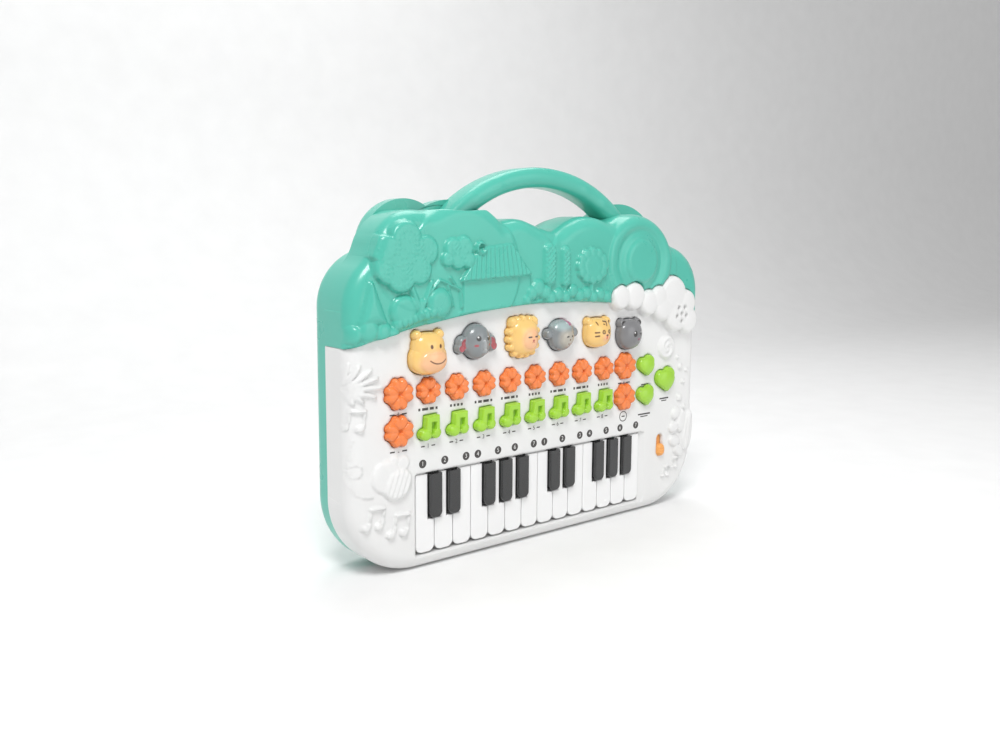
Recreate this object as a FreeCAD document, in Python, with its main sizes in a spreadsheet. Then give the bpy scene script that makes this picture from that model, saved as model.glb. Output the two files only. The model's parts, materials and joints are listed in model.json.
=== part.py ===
import FreeCAD, Part
import Sketcher
import math
import os
import re

# Toy electronic keyboard with a carrying handle, standing upright on its flat lower edge.
# Millimetres. +Z points up to the handle, the keys and buttons face -Y, and +X is to the player's
# right. The origin is the middle of the flat base that it stands on.

# Driving dimensions. Every one becomes a cell of the sheet "Sizes" under the same name.
SIZES = {
    # Case
    "wall": 2.4,               # moulded wall of the three case shells
    "body_depth": 40.0,        # white panel to back face
    "parting": 4.0,            # where the front shells meet the back shell
    "cheek": 50.3,             # mean width of case on each side of the keys
    "row_margin": 23.2,        # case beside the rows of buttons
    "foot_corner": 45.0,       # radius of the two lower corners
    "shoulder_corner": 33.0,   # radius of the two upper corners
    "shoulder_rise": 34.0,     # seam crown to the straight top of the case
    "edge_round": 9.0,         # rounding of the case's front and back edges
    "seam_radius": 530.0,      # arc between the white and the green shell
    "seam_rise": 20.5,         # animal row to the crown of the seam
    "scenery_proud": 2.0,      # green shell in front of the white panel
    "play": 0.2,               # clearance between a part and what it rests on or slides by
    # Carrying handle
    "handle_shift": 4.0,
    "handle_radius": 98.75,    # middle line of the arch
    "handle_drop": 22.0,       # seam crown down to the arch's centre
    "handle_section": 12.5,
    "handle_depth": 20.0,
    "handle_round": 5.0,
    # Cloud and speaker
    "cloud_proud": 5.0,
    "cloud_round": 3.5,
    "speaker_radius": 18.0,
    "speaker_inset": 27.0,     # speaker centre from the side of the case
    "speaker_drop": 14.0,      # speaker centre below the seam crown
    "speaker_deep": 12.0,
    "speaker_hole": 1.3,
    "speaker_ring": 5.1,
    # Keys
    "key_pitch": 13.1,
    "key_gap": 0.5,            # between any two keys
    "keyboard_shift": -7.0,
    "lip_height": 8.5,         # case below the key opening
    "key_opening": 48.0,       # height of the key opening
    "tray_gap": 0.9,           # around the block of keys
    "tray_wall": 1.6,
    "tray_depth": 12.0,
    "key_sink": 1.0,           # white keys below the panel
    "key_thick": 9.0,
    "key_corner": 4.0,
    "key_edge": 0.6,
    "white_tail": 3.8,         # white key left between two black keys
    "black_rise": 1.6,         # black keys above the panel
    "black_length": 27.0,
    "black_corner": 3.4,
    "black_edge": 0.9,
    "tail_drop": 0.9,          # key tails below the inside of the panel
    "pivot_setback": 11.0,     # key opening to the pivot
    "barrel_radius": 3.4,
    "pivot_radius": 1.8,
    "pivot_clearance": 0.08,
    "bracket": 3.0,
    "frame_plate": 2.0,
    "key_swing": 2.8,          # travel of a key where it meets its dome
    "dome_setback": 36.5,      # pivot to the row of key domes
    # Rows of buttons
    "button_pitch": 19.8,
    "row_shift": -1.5,
    "legend_band": 27.0,       # key opening to the row of note buttons
    "row_pitch": 21.0,         # note row to flower row
    "animal_rise": 25.5,       # flower row to animal row
    "button_travel": 2.0,
    "button_gap": 0.35,        # between a button and its hole
    "button_proud": 4.0,
    "flange_thick": 1.2,
    "dome_radius": 3.0,
    "dome_height": 3.0,
    "pad_thick": 1.0,
    "board_thick": 1.6,
    "flower_radius": 7.8,
    "big_flower_radius": 9.25,
    "petal_share": 0.31,       # petal radius over flower radius
    "note_wide": 9.6,
    "note_high": 10.6,
    "note_head": 3.3,
    "heart_side": 9.0,
    "big_heart_side": 10.8,
    "heart_tilt": 14.0,
    "heart_flange": 0.71,      # half width of the flange over the side of the square
    "animal_proud": 9.0,
    "animal_round": 6.5,
    "ear_proud": 5.0,
    "ear_round": 2.0,
    # Power switch
    "switch_offset": 20.3,     # right end of the keys to the switch
    "switch_height": 36.5,     # middle of the slot above the lip
    "switch_travel": 7.0,
    "knob_radius": 4.5,
    "knob_proud": 3.0,
    "stem_wide": 5.0,
    "stem_high": 7.0,
    # Battery bay
    "cell_radius": 7.25,
    "cell_length": 50.5,
    "cell_pitch": 15.5,
    "spring_room": 4.0,
    "spring_radius": 3.0,
    "bay_rise": 12.5,          # note row to the middle of the bay
    "bay_rim": 5.0,
    "door_ledge": 3.0,
    "door_thick": 2.0,
    "door_gap": 0.3,
    # Screws
    "screw_radius": 1.5,
    "screw_head": 2.8,
    "screw_length": 16.0,
    "screw_clearance": 0.05,
    "post_radius": 4.0,
    "post_inset": 12.0,        # post centre from the side of the case
    "well_depth": 6.0,         # depth of the screw wells in the back
}

# Outline of the green hills as discs: x, height of the centre above the seam crown, radius.
FRONT_HILLS = [(-98, 27.5, 28), (-66, 21, 40), (-25, 23, 28), (-6, 21, 24.5), (34, 11, 42), (76, 15, 40)]
BACK_HILLS = [(-90, 34, 28), (-58, 22, 40), (-22, 23, 28), (-4, 20, 24.5), (36, 10, 42), (84, 22, 40)]
# Outline of the white cloud as discs, measured the same way.
CLOUD = [(60, 0.5, 9), (73, 1, 10), (87, -4, 9.5), (96.5, -1, 9), (101, -8, 10),
         (111, 0, 14), (116, -13, 13), (125, -6, 10), (127.5, -18, 10)]
# Domed animal buttons: name, x, height above the row, half width, half height, ears (x, z, radius).
ANIMALS = [
    ("hippo", -91.6, -4, 12, 12, [(-7, 11, 2.9), (7, 11, 2.9)]),
    ("elephant", -58, 0, 9.6, 10.4, [(-10.6, -1, 4.8), (10.6, -1, 4.8)]),
    ("bear", -22.4, 0.5, 11.4, 12, [(-8, 9.6, 3.2), (8, 9.6, 3.2)]),
    ("sheep", 8.3, -0.5, 9.8, 10, [(-10.8, 1.5, 3.3), (10.8, 1.5, 3.3)]),
    ("tiger", 40, -1, 11, 9.8, [(-8, 7.4, 3.1), (8, 7.4, 3.1)]),
    ("panda", 69.7, -4, 10.8, 10.4, [(-7.4, 7.8, 3.3), (7.4, 7.8, 3.3)]),
]
# Screw posts of the white shell (side, height) and of the green shell (x, rise above the seam).
WHITE_POSTS = [(-1, 50), (1, 50), (-1, 112), (1, 112)]
GREEN_POSTS = [(-100, 20), (-26, 22), (34, 22), (88, 22)]

# Buttons on the grid of columns: name, column and row (and the side of the heart's square).
BIG_FLOWERS = [("tempo_up_button", 0, "flower_row"), ("tempo_down_button", 0, "note_row"),
               ("volume_up_button", 9, "flower_row"), ("volume_down_button", 9, "note_row")]
HEARTS = [("heart_button_upper", 10, "(flower_row - 3.6)", "heart_side"),
          ("heart_button_lower", 10, "(note_row - 3.2)", "heart_side"),
          ("heart_button_stop", 11, "(note_row + 5.4)", "big_heart_side")]

WHITE_KEYS = 14
BLACK_AFTER = (0, 1, 3, 4, 5)  # white keys of an octave with a black key to their right
CELLS = 3
FLOWER_COLUMNS = range(1, 9)
PETALS = 8

# Lengths that follow from the driving ones.
DERIVED = {
    "half_width": "max(7 * key_pitch + cheek; 6 * button_pitch + row_margin)",
    "panel_y": "(-body_depth / 2)",
    "back_y": "(body_depth / 2)",
    "scenery_y": "(panel_y - scenery_proud)",
    "tray_top": "(lip_height + key_opening)",
    "note_row": "(tray_top + legend_band)",
    "flower_row": "(note_row + row_pitch)",
    "animal_row": "(flower_row + animal_rise)",
    "seam_z": "(animal_row + seam_rise)",
    "case_top": "(seam_z + shoulder_rise)",
    "handle_z": "(seam_z - handle_drop)",
    "flange_front": "(panel_y + wall + play)",
    "flange_back": "(flange_front + flange_thick)",
    "flange_middle": "(flange_front + flange_thick / 2)",
    "dome_tip": "(flange_back + button_travel + play)",
    "pad_front": "(dome_tip + dome_height)",
    "board_front": "(pad_front + pad_thick)",
    "board_back": "(board_front + board_thick)",
    "key_top": "(panel_y + key_sink)",
    "key_bottom": "(key_top + key_thick)",
    "key_low": "(lip_height + tray_gap)",
    "tail_top": "(panel_y + wall + tail_drop)",
    "pivot_y": "(tail_top + barrel_radius)",
    "pivot_z": "(tray_top + pivot_setback)",
    "black_width": "(key_pitch - white_tail - 2 * key_gap)",
    "black_low": "(tray_top - black_length)",
    "keys_half": "(7 * key_pitch)",
    "key_dome_tip": "(key_bottom + key_swing + play)",
    "key_pad_front": "(key_dome_tip + dome_height)",
    "key_board_front": "(key_pad_front + pad_thick)",
    "key_board_back": "(key_board_front + board_thick)",
    "key_dome_z": "(pivot_z - dome_setback)",
    "switch_x": "(keyboard_shift + keys_half + switch_offset)",
    "switch_z": "(lip_height + switch_height)",
    "bay_half": "(cell_length / 2 + spring_room)",
    "bay_high": "(1.5 * cell_pitch + play)",
    "bay_z": "(note_row + bay_rise)",
    "door_front": "(back_y - door_thick)",
    "cell_y": "(door_front - play - cell_radius)",
    "bay_floor": "(cell_y - cell_radius - play)",
    "door_half": "(bay_half + door_ledge)",
    "door_high": "(bay_high + door_ledge)",
    "speaker_x": "(half_width - speaker_inset)",
    "speaker_z": "(seam_z - speaker_drop)",
    "well_floor": "(back_y - well_depth)",
    "screw_tip": "(well_floor - screw_length)",
}

doc = FreeCAD.newDocument("ToyKeyboard")
sheet = doc.addObject("Spreadsheet::Sheet", "Sizes")
PARTS = []


def fill_sheet():
    """Writes every driving dimension, and the rows of the outline tables, into the sheet."""
    cells = dict(SIZES)
    for prefix, rows in (("front_hill", FRONT_HILLS), ("back_hill", BACK_HILLS), ("cloud", CLOUD)):
        for index, row in enumerate(rows):
            for field, number in zip(("x", "rise", "radius"), row):
                cells[f"{prefix}_{field}_{index + 1}"] = number
    for name, x, rise, wide, high, ears in ANIMALS:
        cells.update({f"{name}_x": x, f"{name}_rise": rise, f"{name}_wide": wide, f"{name}_high": high})
        for index, ear in enumerate(ears):
            for field, number in zip(("x", "z", "radius"), ear):
                cells[f"{name}_ear_{field}_{index + 1}"] = number
    for row, (alias, number) in enumerate(cells.items(), start=1):
        sheet.set(f"A{row}", alias)
        sheet.set(f"B{row}", str(number))
        sheet.setAlias(f"B{row}", alias)
    doc.recompute()
    return set(cells)


ALIASES = fill_sheet()


def sized(text):
    """Turns an expression in plain names into one that reads the sheet."""
    def swap(match):
        word = match.group()
        if word in DERIVED:
            return sized(DERIVED[word])
        return "Sizes." + word if word in ALIASES else word
    return re.sub(r"[a-z_][a-z_0-9]*", swap, str(text))


def bind(thing, **lengths):
    """Binds properties to expressions. A double underscore in a name stands for a dot."""
    for name, text in lengths.items():
        thing.setExpression(name.replace("__", "."), sized(text))


def value(text):
    return float(sheet.evalExpression(sized(text).replace("Sizes.", "")))


def settle():
    """Recomputes the document and stops at the first object that failed."""
    doc.recompute()
    failed = [o.Name for o in doc.Objects if "Invalid" in o.State or "Error" in o.State]
    if failed:
        raise RuntimeError(f"failed objects: {failed}")


def turned(axis, degrees):
    return FreeCAD.Placement(FreeCAD.Vector(), FreeCAD.Rotation(FreeCAD.Vector(*axis), degrees))


def at(thing, x="0", y="0", z="0"):
    bind(thing, Placement__Base__x=x, Placement__Base__y=y, Placement__Base__z=z)
    return thing


def block(name, x, y, z):
    """Box between pairs of expressions along each axis."""
    box = doc.addObject("Part::Box", name)
    bind(box, Length=f"({x[1]}) - ({x[0]})", Width=f"({y[1]}) - ({y[0]})", Height=f"({z[1]}) - ({z[0]})")
    return at(box, x[0], y[0], z[0])


def bar(name, x, z, radius, front, back):
    """Plain cylinder along Y."""
    cylinder = doc.addObject("Part::Cylinder", name)
    cylinder.Placement = turned((1, 0, 0), -90)
    bind(cylinder, Radius=radius, Height=f"({back}) - ({front})")
    return at(cylinder, x, front, z)


def axle(name, x, y, z, radius):
    """Plain cylinder along X between a pair of expressions."""
    cylinder = doc.addObject("Part::Cylinder", name)
    cylinder.Placement = turned((0, 1, 0), 90)
    bind(cylinder, Radius=radius, Height=f"({x[1]}) - ({x[0]})")
    return at(cylinder, x[0], y, z)


def combine(kind, name, shapes):
    result = doc.addObject(kind, name)
    result.Refine = True
    result.Shapes = shapes
    return result


def fuse(name, shapes):
    return combine("Part::MultiFuse", name, shapes)


def cut(name, base, tool):
    result = doc.addObject("Part::Cut", name)
    result.Refine = True
    result.Base = base
    result.Tool = tool
    return result


def carve(name, base, groups):
    """Cuts one group of tools after another out of a solid."""
    for index, tools in enumerate(groups, start=1):
        tool = fuse(f"{name}_tools_{index}", tools) if len(tools) > 1 else tools[0]
        base = cut(f"{name}_{index}", base, tool)
    return base


def common(name, base, tool):
    return combine("Part::MultiCommon", name, [base, tool])


def gather(name, shapes):
    """Several separate solids that make one sub-part."""
    result = doc.addObject("Part::Compound", name)
    result.Links = shapes
    return result


def plane(body, role):
    return next(item for item in body.Origin.OriginFeatures if item.Role == role)


def attach(feature, body, role, x="0", y="0", z="0"):
    feature.AttachmentSupport = [(plane(body, role), "")]
    feature.MapMode = "FlatFace"
    bind(feature, AttachmentOffset__Base__x=x, AttachmentOffset__Base__y=y, AttachmentOffset__Base__z=z)
    return feature


def sketch_polygon(body, name, role, points, z="0", arcs=None):
    """Closed sketch through points given as pairs of expressions, every corner dimensioned.

    arcs gives the centre of each side, counted from 0, that is an arc. The arc's ends fix its centre
    along one direction, so only the other one is dimensioned.
    """
    arcs = arcs or {}
    sketch = attach(body.newObject("Sketcher::SketchObject", name), body, role, z=z)
    places = [FreeCAD.Vector(value(x), value(y), 0) for x, y in points]
    count = len(points)
    for index in range(count):
        start, end = places[index], places[(index + 1) % count]
        if index in arcs:
            centre = FreeCAD.Vector(value(arcs[index][0]), value(arcs[index][1]), 0)
            first, last = (math.atan2(spot.y - centre.y, spot.x - centre.x) for spot in (start, end))
            circle = Part.Circle(centre, FreeCAD.Vector(0, 0, 1), start.distanceToPoint(centre))
            sketch.addGeometry(Part.ArcOfCircle(circle, first, last), False)
        else:
            sketch.addGeometry(Part.LineSegment(start, end), False)
    for index in range(count):
        sketch.addConstraint(Sketcher.Constraint("Coincident", index, 2, (index + 1) % count, 1))
    for index, (x, y) in enumerate(points):
        for kind, text, number in (("DistanceX", x, places[index].x), ("DistanceY", y, places[index].y)):
            row = sketch.addConstraint(Sketcher.Constraint(kind, -1, 1, index, 1, number))
            sketch.setExpression(f"Constraints[{row}]", sized(text))
    for index, centre in arcs.items():
        chord = places[(index + 1) % count] - places[index]
        kind, text = ("DistanceX", centre[0]) if abs(chord.y) > abs(chord.x) else ("DistanceY", centre[1])
        row = sketch.addConstraint(Sketcher.Constraint(kind, -1, 1, index, 3, value(text)))
        sketch.setExpression(f"Constraints[{row}]", sized(text))
    return sketch


def pad(body, name, sketch, length, midplane=False):
    feature = body.newObject("PartDesign::Pad", name)
    feature.Profile = sketch
    feature.Midplane = midplane
    bind(feature, Length=length)
    settle()
    return feature


def round_edges(body, name, base, radius, chosen):
    """Fillets the edges of a feature that a test picks out."""
    settle()
    names = [f"Edge{i}" for i, edge in enumerate(base.Shape.Edges, start=1) if chosen(edge)]
    feature = body.newObject("PartDesign::Fillet", name)
    feature.Base = (base, names)
    bind(feature, Radius=radius)
    settle()
    return feature


def pill(name, x, z, radius, front, back, rounding):
    """Disc along Y whose front edge is rounded. Its body's own +Z points to the front."""
    body = doc.addObject("PartDesign::Body", name)
    disc = body.newObject("PartDesign::AdditiveCylinder", name + "_disc")
    bind(disc, Radius=radius, Height=f"({back}) - ({front})")
    settle()
    top = value(f"({back}) - ({front})")
    round_edges(body, name + "_round", disc, rounding,
                lambda edge: edge.Closed and abs(edge.BoundBox.ZMin - top) < 1e-4)
    body.Placement = turned((1, 0, 0), 90)
    return at(body, x, back, z)


def disc(name, x, z, radius, front, back, rounding):
    """Pill, or a plain cylinder where no rounding is given."""
    if rounding:
        return pill(name, x, z, radius, front, back, rounding)
    return bar(name, x, z, radius, front, back)


def oval(name, x, z, wide, high, front, back, rounding):
    """Outline a little longer one way than the other: two overlapping discs."""
    if value(f"({wide}) - ({high})") >= 0:
        reach = f"({wide}) - ({high})"
        sides = [(f"({x}) - ({reach})", z), (f"({x}) + ({reach})", z)]
        radius = high
    else:
        reach = f"({high}) - ({wide})"
        sides = [(x, f"({z}) - ({reach})"), (x, f"({z}) + ({reach})")]
        radius = wide
    return [disc(f"{name}_{i}", sx, sz, radius, front, back, rounding) for i, (sx, sz) in enumerate(sides)]


def slab(name, half, low, high, front, back, foot, shoulder, rounding, round_back):
    """Upright rounded plate: the main body of the case, with one long edge rounded."""
    body = doc.addObject("PartDesign::Body", name)
    corners = [(f"-({half})", low), (half, low), (half, high), (f"-({half})", high)]
    sketch = sketch_polygon(body, name + "_outline", "XZ_Plane", corners, z=f"-({back})")
    plate = pad(body, name + "_plate", sketch, f"({back}) - ({front})")
    middle = value(f"(({low}) + ({high})) / 2")

    def upright(edge, upper):
        box = edge.BoundBox
        along = box.YLength > 1 and box.XLength < 1e-4 and box.ZLength < 1e-4
        return along and (box.ZMin > middle) == upper
    feet = round_edges(body, name + "_feet", plate, foot, lambda edge: upright(edge, False))
    tops = round_edges(body, name + "_tops", feet, shoulder, lambda edge: upright(edge, True))
    rim = value(back if round_back else front)
    round_edges(body, name + "_rim", tops, rounding,
                lambda edge: edge.BoundBox.YLength < 1e-4 and abs(edge.BoundBox.YMin - rim) < 1e-4)
    return body


def handle_ring(name, inset):
    """Whole ring that the handle's arch is part of, shrunk all round by the inset."""
    body = doc.addObject("PartDesign::Body", name)
    deep = f"handle_depth - 2 * ({inset})"
    outer = body.newObject("PartDesign::AdditiveCylinder", name + "_outer")
    bind(outer, Radius=f"handle_radius + handle_section / 2 - ({inset})", Height=deep)
    settle()
    inner = body.newObject("PartDesign::SubtractiveCylinder", name + "_inner")
    bind(inner, Radius=f"handle_radius - handle_section / 2 + ({inset})", Height=deep)
    round_edges(body, name + "_round", inner, f"handle_round - ({inset})",
                lambda edge: edge.Closed and edge.BoundBox.ZLength < 1e-4)
    body.Placement = turned((1, 0, 0), 90)
    return at(body, "handle_shift", f"handle_depth / 2 - ({inset})", "handle_z")


def handle_arch(name, inset):
    """The part of the ring above the shoulders."""
    ring = handle_ring(name + "_ring", inset)
    above = block(name + "_above", ("-half_width", "half_width"), ("panel_y", "back_y"),
                  ("case_top", "handle_z + handle_radius + handle_section"))
    return common(name, ring, above)


def envelope(name, hills, prefix, front, back, inset, round_back):
    """Slab and hills of one shell, shrunk by the inset: 0 outside, the wall inside."""
    rounding = f"edge_round - ({inset})"
    shapes = [slab(name + "_slab", f"half_width - ({inset})", inset, f"case_top - ({inset})", front, back,
                   f"foot_corner - ({inset})", f"shoulder_corner - ({inset})", rounding, round_back)]
    for index in range(1, len(hills) + 1):
        spot = (f"{prefix}_x_{index}", f"seam_z + {prefix}_rise_{index}",
                f"{prefix}_radius_{index} - ({inset})")
        hill = pill(f"{name}_hill_{index}", *spot, front, back, rounding)
        if round_back:
            hill.Placement = turned((1, 0, 0), -90)
            at(hill, spot[0], front, spot[1])
        shapes.append(hill)
    return shapes


def build_case():
    """The white front shell, the green top shell and the green back shell."""
    white_outer = envelope("white_outer", [], "front_hill", "panel_y", "parting", "0", False)[0]
    white_inner = envelope("white_inner", [], "front_hill", "panel_y + wall", "parting + wall",
                           "wall", False)[0]
    green_outer = envelope("green_outer", FRONT_HILLS, "front_hill", "scenery_y", "parting", "0", False)
    green_inner = envelope("green_inner", FRONT_HILLS, "front_hill", "scenery_y + wall", "parting + wall",
                           "wall", False)
    back_outer = envelope("back_outer", BACK_HILLS, "back_hill", "parting", "back_y", "0", True)
    back_inner = envelope("back_inner", BACK_HILLS, "back_hill", "parting + wall", "back_y - wall",
                          "wall", True)
    arch = handle_arch("handle_outer", "0")
    arch_inner = handle_arch("handle_inner", "wall")
    cavity = fuse("case_cavity", green_inner + back_inner + [arch_inner])

    seam = bar("seam_below", "0", "seam_z - seam_radius", "seam_radius", "scenery_y - 1", "back_y")
    front_half = block("front_half", ("-half_width", "half_width"), ("scenery_y", "parting"),
                       ("0", "seam_z + handle_radius"))
    green_solid = common("green_front", fuse("green_block", green_outer + [arch]), front_half)
    green_wall = cut("green_wall", cut("green_hollow", green_solid, cavity), seam)
    back_block = cut("back_block", fuse("back_body", back_outer + [arch]), front_half)
    back_wall = cut("back_wall", back_block, cavity)
    white_wall = common("white_wall", cut("white_hollow", white_outer, white_inner), seam)

    build_green_shell(green_wall)
    build_white_shell(white_wall)
    build_back_shell(back_wall)


def cloud_discs(name, front, back, inset, rounding):
    discs = []
    for index in range(1, len(CLOUD) + 1):
        discs.append(pill(f"{name}_{index}", f"cloud_x_{index}", f"seam_z + cloud_rise_{index}",
                          f"cloud_radius_{index} - ({inset})", front, back, rounding))
    return discs


def screw_posts(name, posts, white):
    """Posts that the case screws bite into, and the pilot holes in them."""
    solids = []
    holes = []
    for index, (first, second) in enumerate(posts, start=1):
        x, z = post_place(first, second, white)
        front = "panel_y + wall" if white else "scenery_y + wall"
        solids.append(bar(f"{name}_post_{index}", x, z, "post_radius", f"{front} - 0.5", "parting"))
        holes.append(bar(f"{name}_pilot_{index}", x, z, "screw_radius + screw_clearance",
                         "screw_tip - play", "parting + 1"))
    return solids, holes


def post_place(first, second, white):
    if white:
        return f"{first} * (half_width - post_inset)", str(second)
    return str(first), f"seam_z + {second}"


def build_green_shell(wall):
    posts, pilots = screw_posts("green", GREEN_POSTS, False)
    cloud = cloud_discs("cloud_seat", "scenery_y - cloud_proud", "panel_y + wall", "0", "cloud_round")
    solid = fuse("green_with_posts", [wall] + posts)
    finish_part(carve("top_shell_cut", solid, [cloud, pilots]), "top_shell")


def build_white_shell(wall):
    cloud_front = "scenery_y - cloud_proud"
    cloud = fuse("cloud_body", cloud_discs("cloud", cloud_front, "panel_y + wall", "0", "cloud_round"))
    hollow = cloud_discs("cloud_hollow", f"{cloud_front} + wall", "panel_y + wall + 1", "wall",
                         "cloud_round / 3")
    posts, holes = screw_posts("white", WHITE_POSTS, True)
    left = "keyboard_shift - keys_half - tray_gap"
    right = "keyboard_shift + keys_half + tray_gap"
    skirt = block("tray_skirt", (f"{left} - tray_wall", f"{right} + tray_wall"),
                  ("panel_y + wall", "panel_y + tray_depth"), ("lip_height - tray_wall", "tray_top"))
    mouth = block("tray_mouth", (left, right), ("scenery_y - 1", "panel_y + tray_depth + 1"),
                  ("lip_height", "tray_top"))
    slot = block("switch_slot", ("switch_x - stem_wide / 2 - play", "switch_x + stem_wide / 2 + play"),
                 ("panel_y - 1", "panel_y + wall + 1"),
                 ("switch_z - (stem_high + switch_travel) / 2 - play",
                  "switch_z + (stem_high + switch_travel) / 2 + play"))
    sound = []
    for index in range(6):
        angle = math.radians(72 * index - 90)
        reach = 0 if index == 5 else 1
        sound.append(bar(f"speaker_hole_{index + 1}",
                         f"speaker_x + 3.5 + {reach * math.cos(angle):.6f} * speaker_ring",
                         f"speaker_z + 1 + {reach * math.sin(angle):.6f} * speaker_ring",
                         "speaker_hole", f"{cloud_front} - 1", "panel_y + wall + 1"))
    buttons = [sum((outline(name + "_hole", x, z, "panel_y - 1", "panel_y + wall + 1", "button_gap")
                    for name, x, z, outline in rows), []) for rows in button_outlines()]
    solid = fuse("white_with_posts", [wall, cloud, skirt] + posts)
    cuts = [hollow, holes, [mouth, slot], sound] + buttons
    finish_part(carve("front_shell_cut", solid, cuts), "front_shell")


def build_back_shell(wall):
    rim = block("bay_block", ("-bay_half - bay_rim", "bay_half + bay_rim"),
                ("bay_floor - wall", "back_y - wall / 2"),
                ("bay_z - bay_high - bay_rim", "bay_z + bay_high + bay_rim"))
    bay = block("bay_room", ("-bay_half", "bay_half"), ("bay_floor", "back_y + 1"),
                ("bay_z - bay_high", "bay_z + bay_high"))
    recess = block("door_recess", ("-door_half - door_gap", "door_half + door_gap"),
                   ("door_front", "back_y + 1"),
                   ("bay_z - door_high - door_gap", "bay_z + door_high + door_gap"))
    lock = bar("door_screw_hole", "0", "bay_z + door_high - door_ledge / 2", "screw_radius + 2 * door_gap",
               "door_front - well_depth", "back_y")
    head_room = bar("door_head_room", "0", "bay_z + door_high - door_ledge / 2", "screw_head + play",
                    "back_y - door_thick / 2", "back_y + 1")
    solids = [wall, rim]
    holes = [bay, recess, lock, head_room]
    for index, (x, z) in enumerate(all_posts(), start=1):
        solids.append(bar(f"back_post_{index}", x, z, "post_radius", "parting", "back_y - wall / 2"))
        holes.append(bar(f"back_well_{index}", x, z, "screw_head + play", "well_floor", "back_y + 1"))
        holes.append(bar(f"back_bore_{index}", x, z, "screw_radius + screw_clearance", "parting - 1",
                         "back_y"))
    solid = fuse("back_with_bay", solids)
    finish_part(carve("back_shell_cut", solid, [holes]), "back_shell")


def all_posts():
    places = [post_place(side, z, True) for side, z in WHITE_POSTS]
    return places + [post_place(x, rise, False) for x, rise in GREEN_POSTS]


def disc_outline(radius):
    def outline(name, x, z, front, back, extra):
        return [bar(name, x, z, f"{radius} + ({extra})", front, back)]
    return outline


def note_outline(name, x, z, front, back, extra):
    """Beamed pair of notes: a block with a round head below each end."""
    left, right = f"{x} - note_wide / 2", f"{x} + note_wide / 2"
    body = block(name + "_beam", (f"{left} - ({extra})", f"{right} + ({extra})"), (front, back),
                 (f"{z} - note_high / 2 - ({extra})", f"{z} + note_high / 2 + ({extra})"))
    head_z = f"{z} - note_high / 2 + note_head / 4"
    heads = [bar(f"{name}_head_{i}", side, head_z, f"note_head + ({extra})", front, back)
             for i, side in enumerate((f"{left} + note_head / 4", f"{right} - note_head / 4"), start=1)]
    return [body] + heads


def heart_outline(side):
    """Heart: two sides of a square that stands on one corner, and a half round on the other two."""
    def outline(name, x, z, front, back, extra):
        body = doc.addObject("PartDesign::Body", name + "_heart")
        near = f"-({extra})"
        lobe = f"({side} / 2 + ({extra}))"
        notch = f"(0.75 * {side} + sqrt(2 * {lobe} * {lobe} - {side} * {side} / 4) / 2)"
        points = [(near, near), (side, near), (notch, notch), (near, side)]
        arcs = {1: (side, f"{side} / 2"), 2: (f"{side} / 2", side)}
        sketch = sketch_polygon(body, name + "_outline", "XY_Plane", points, arcs=arcs)
        bind(sketch, AttachmentOffset__Rotation__Angle="45 - heart_tilt")
        pad(body, name + "_pad", sketch, f"({back}) - ({front})")
        body.Placement = turned((1, 0, 0), 90)
        reach = f"{side} / sqrt(2)"
        return [at(body, f"{x} - {reach} * sin(heart_tilt)", back, f"{z} - {reach} * cos(heart_tilt)")]
    return outline


def column(index):
    return f"(row_shift + ({index} - 5.5) * button_pitch)"


def animal_outline(animal):
    """Domed head with ears. The hole for it has the same outline with square edges."""
    label, ears = animal[0], animal[5]

    def outline(name, x, z, front, back, extra):
        is_head = extra == "0"
        shapes = oval(name, x, z, f"{label}_wide + ({extra})", f"{label}_high + ({extra})", front, back,
                      "animal_round" if is_head else None)
        ear_front = "panel_y - ear_proud" if is_head else front
        for index in range(1, len(ears) + 1):
            shapes.append(disc(f"{name}_ear_{index}", f"{x} + {label}_ear_x_{index}",
                               f"{z} + {label}_ear_z_{index}", f"{label}_ear_radius_{index} + ({extra})",
                               ear_front, back, "ear_round" if is_head else None))
        return shapes
    return outline


def button_outlines():
    """Every button as name, x, z and the function that makes its outline, in groups cut together."""
    animals = [(f"{animal[0]}_button", f"{animal[0]}_x", f"(animal_row + {animal[0]}_rise)",
                animal_outline(animal)) for animal in ANIMALS]
    flowers = [(f"rhythm_{i}", column(i), "flower_row", disc_outline("flower_radius"))
               for i in FLOWER_COLUMNS]
    flowers += [(name, column(place), row, disc_outline("big_flower_radius"))
                for name, place, row in BIG_FLOWERS]
    notes = [(f"note_button_{i}", column(i), "note_row", note_outline) for i in FLOWER_COLUMNS]
    hearts = [(name, column(place), row, heart_outline(side)) for name, place, row, side in HEARTS]
    return [[row] for row in animals] + [flowers, notes, hearts]


def finish_part(thing, node):
    """Names a finished sub-part and puts it on the list to be written."""
    thing.Label = node
    PARTS.append(thing)
    return thing


def flange(name, x, z, half_wide, half_high):
    """Plate behind the panel that keeps a button from falling out."""
    return block(name + "_flange", (f"{x} - ({half_wide})", f"{x} + ({half_wide})"),
                 ("flange_front", "flange_back"), (f"{z} - ({half_high})", f"{z} + ({half_high})"))


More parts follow.
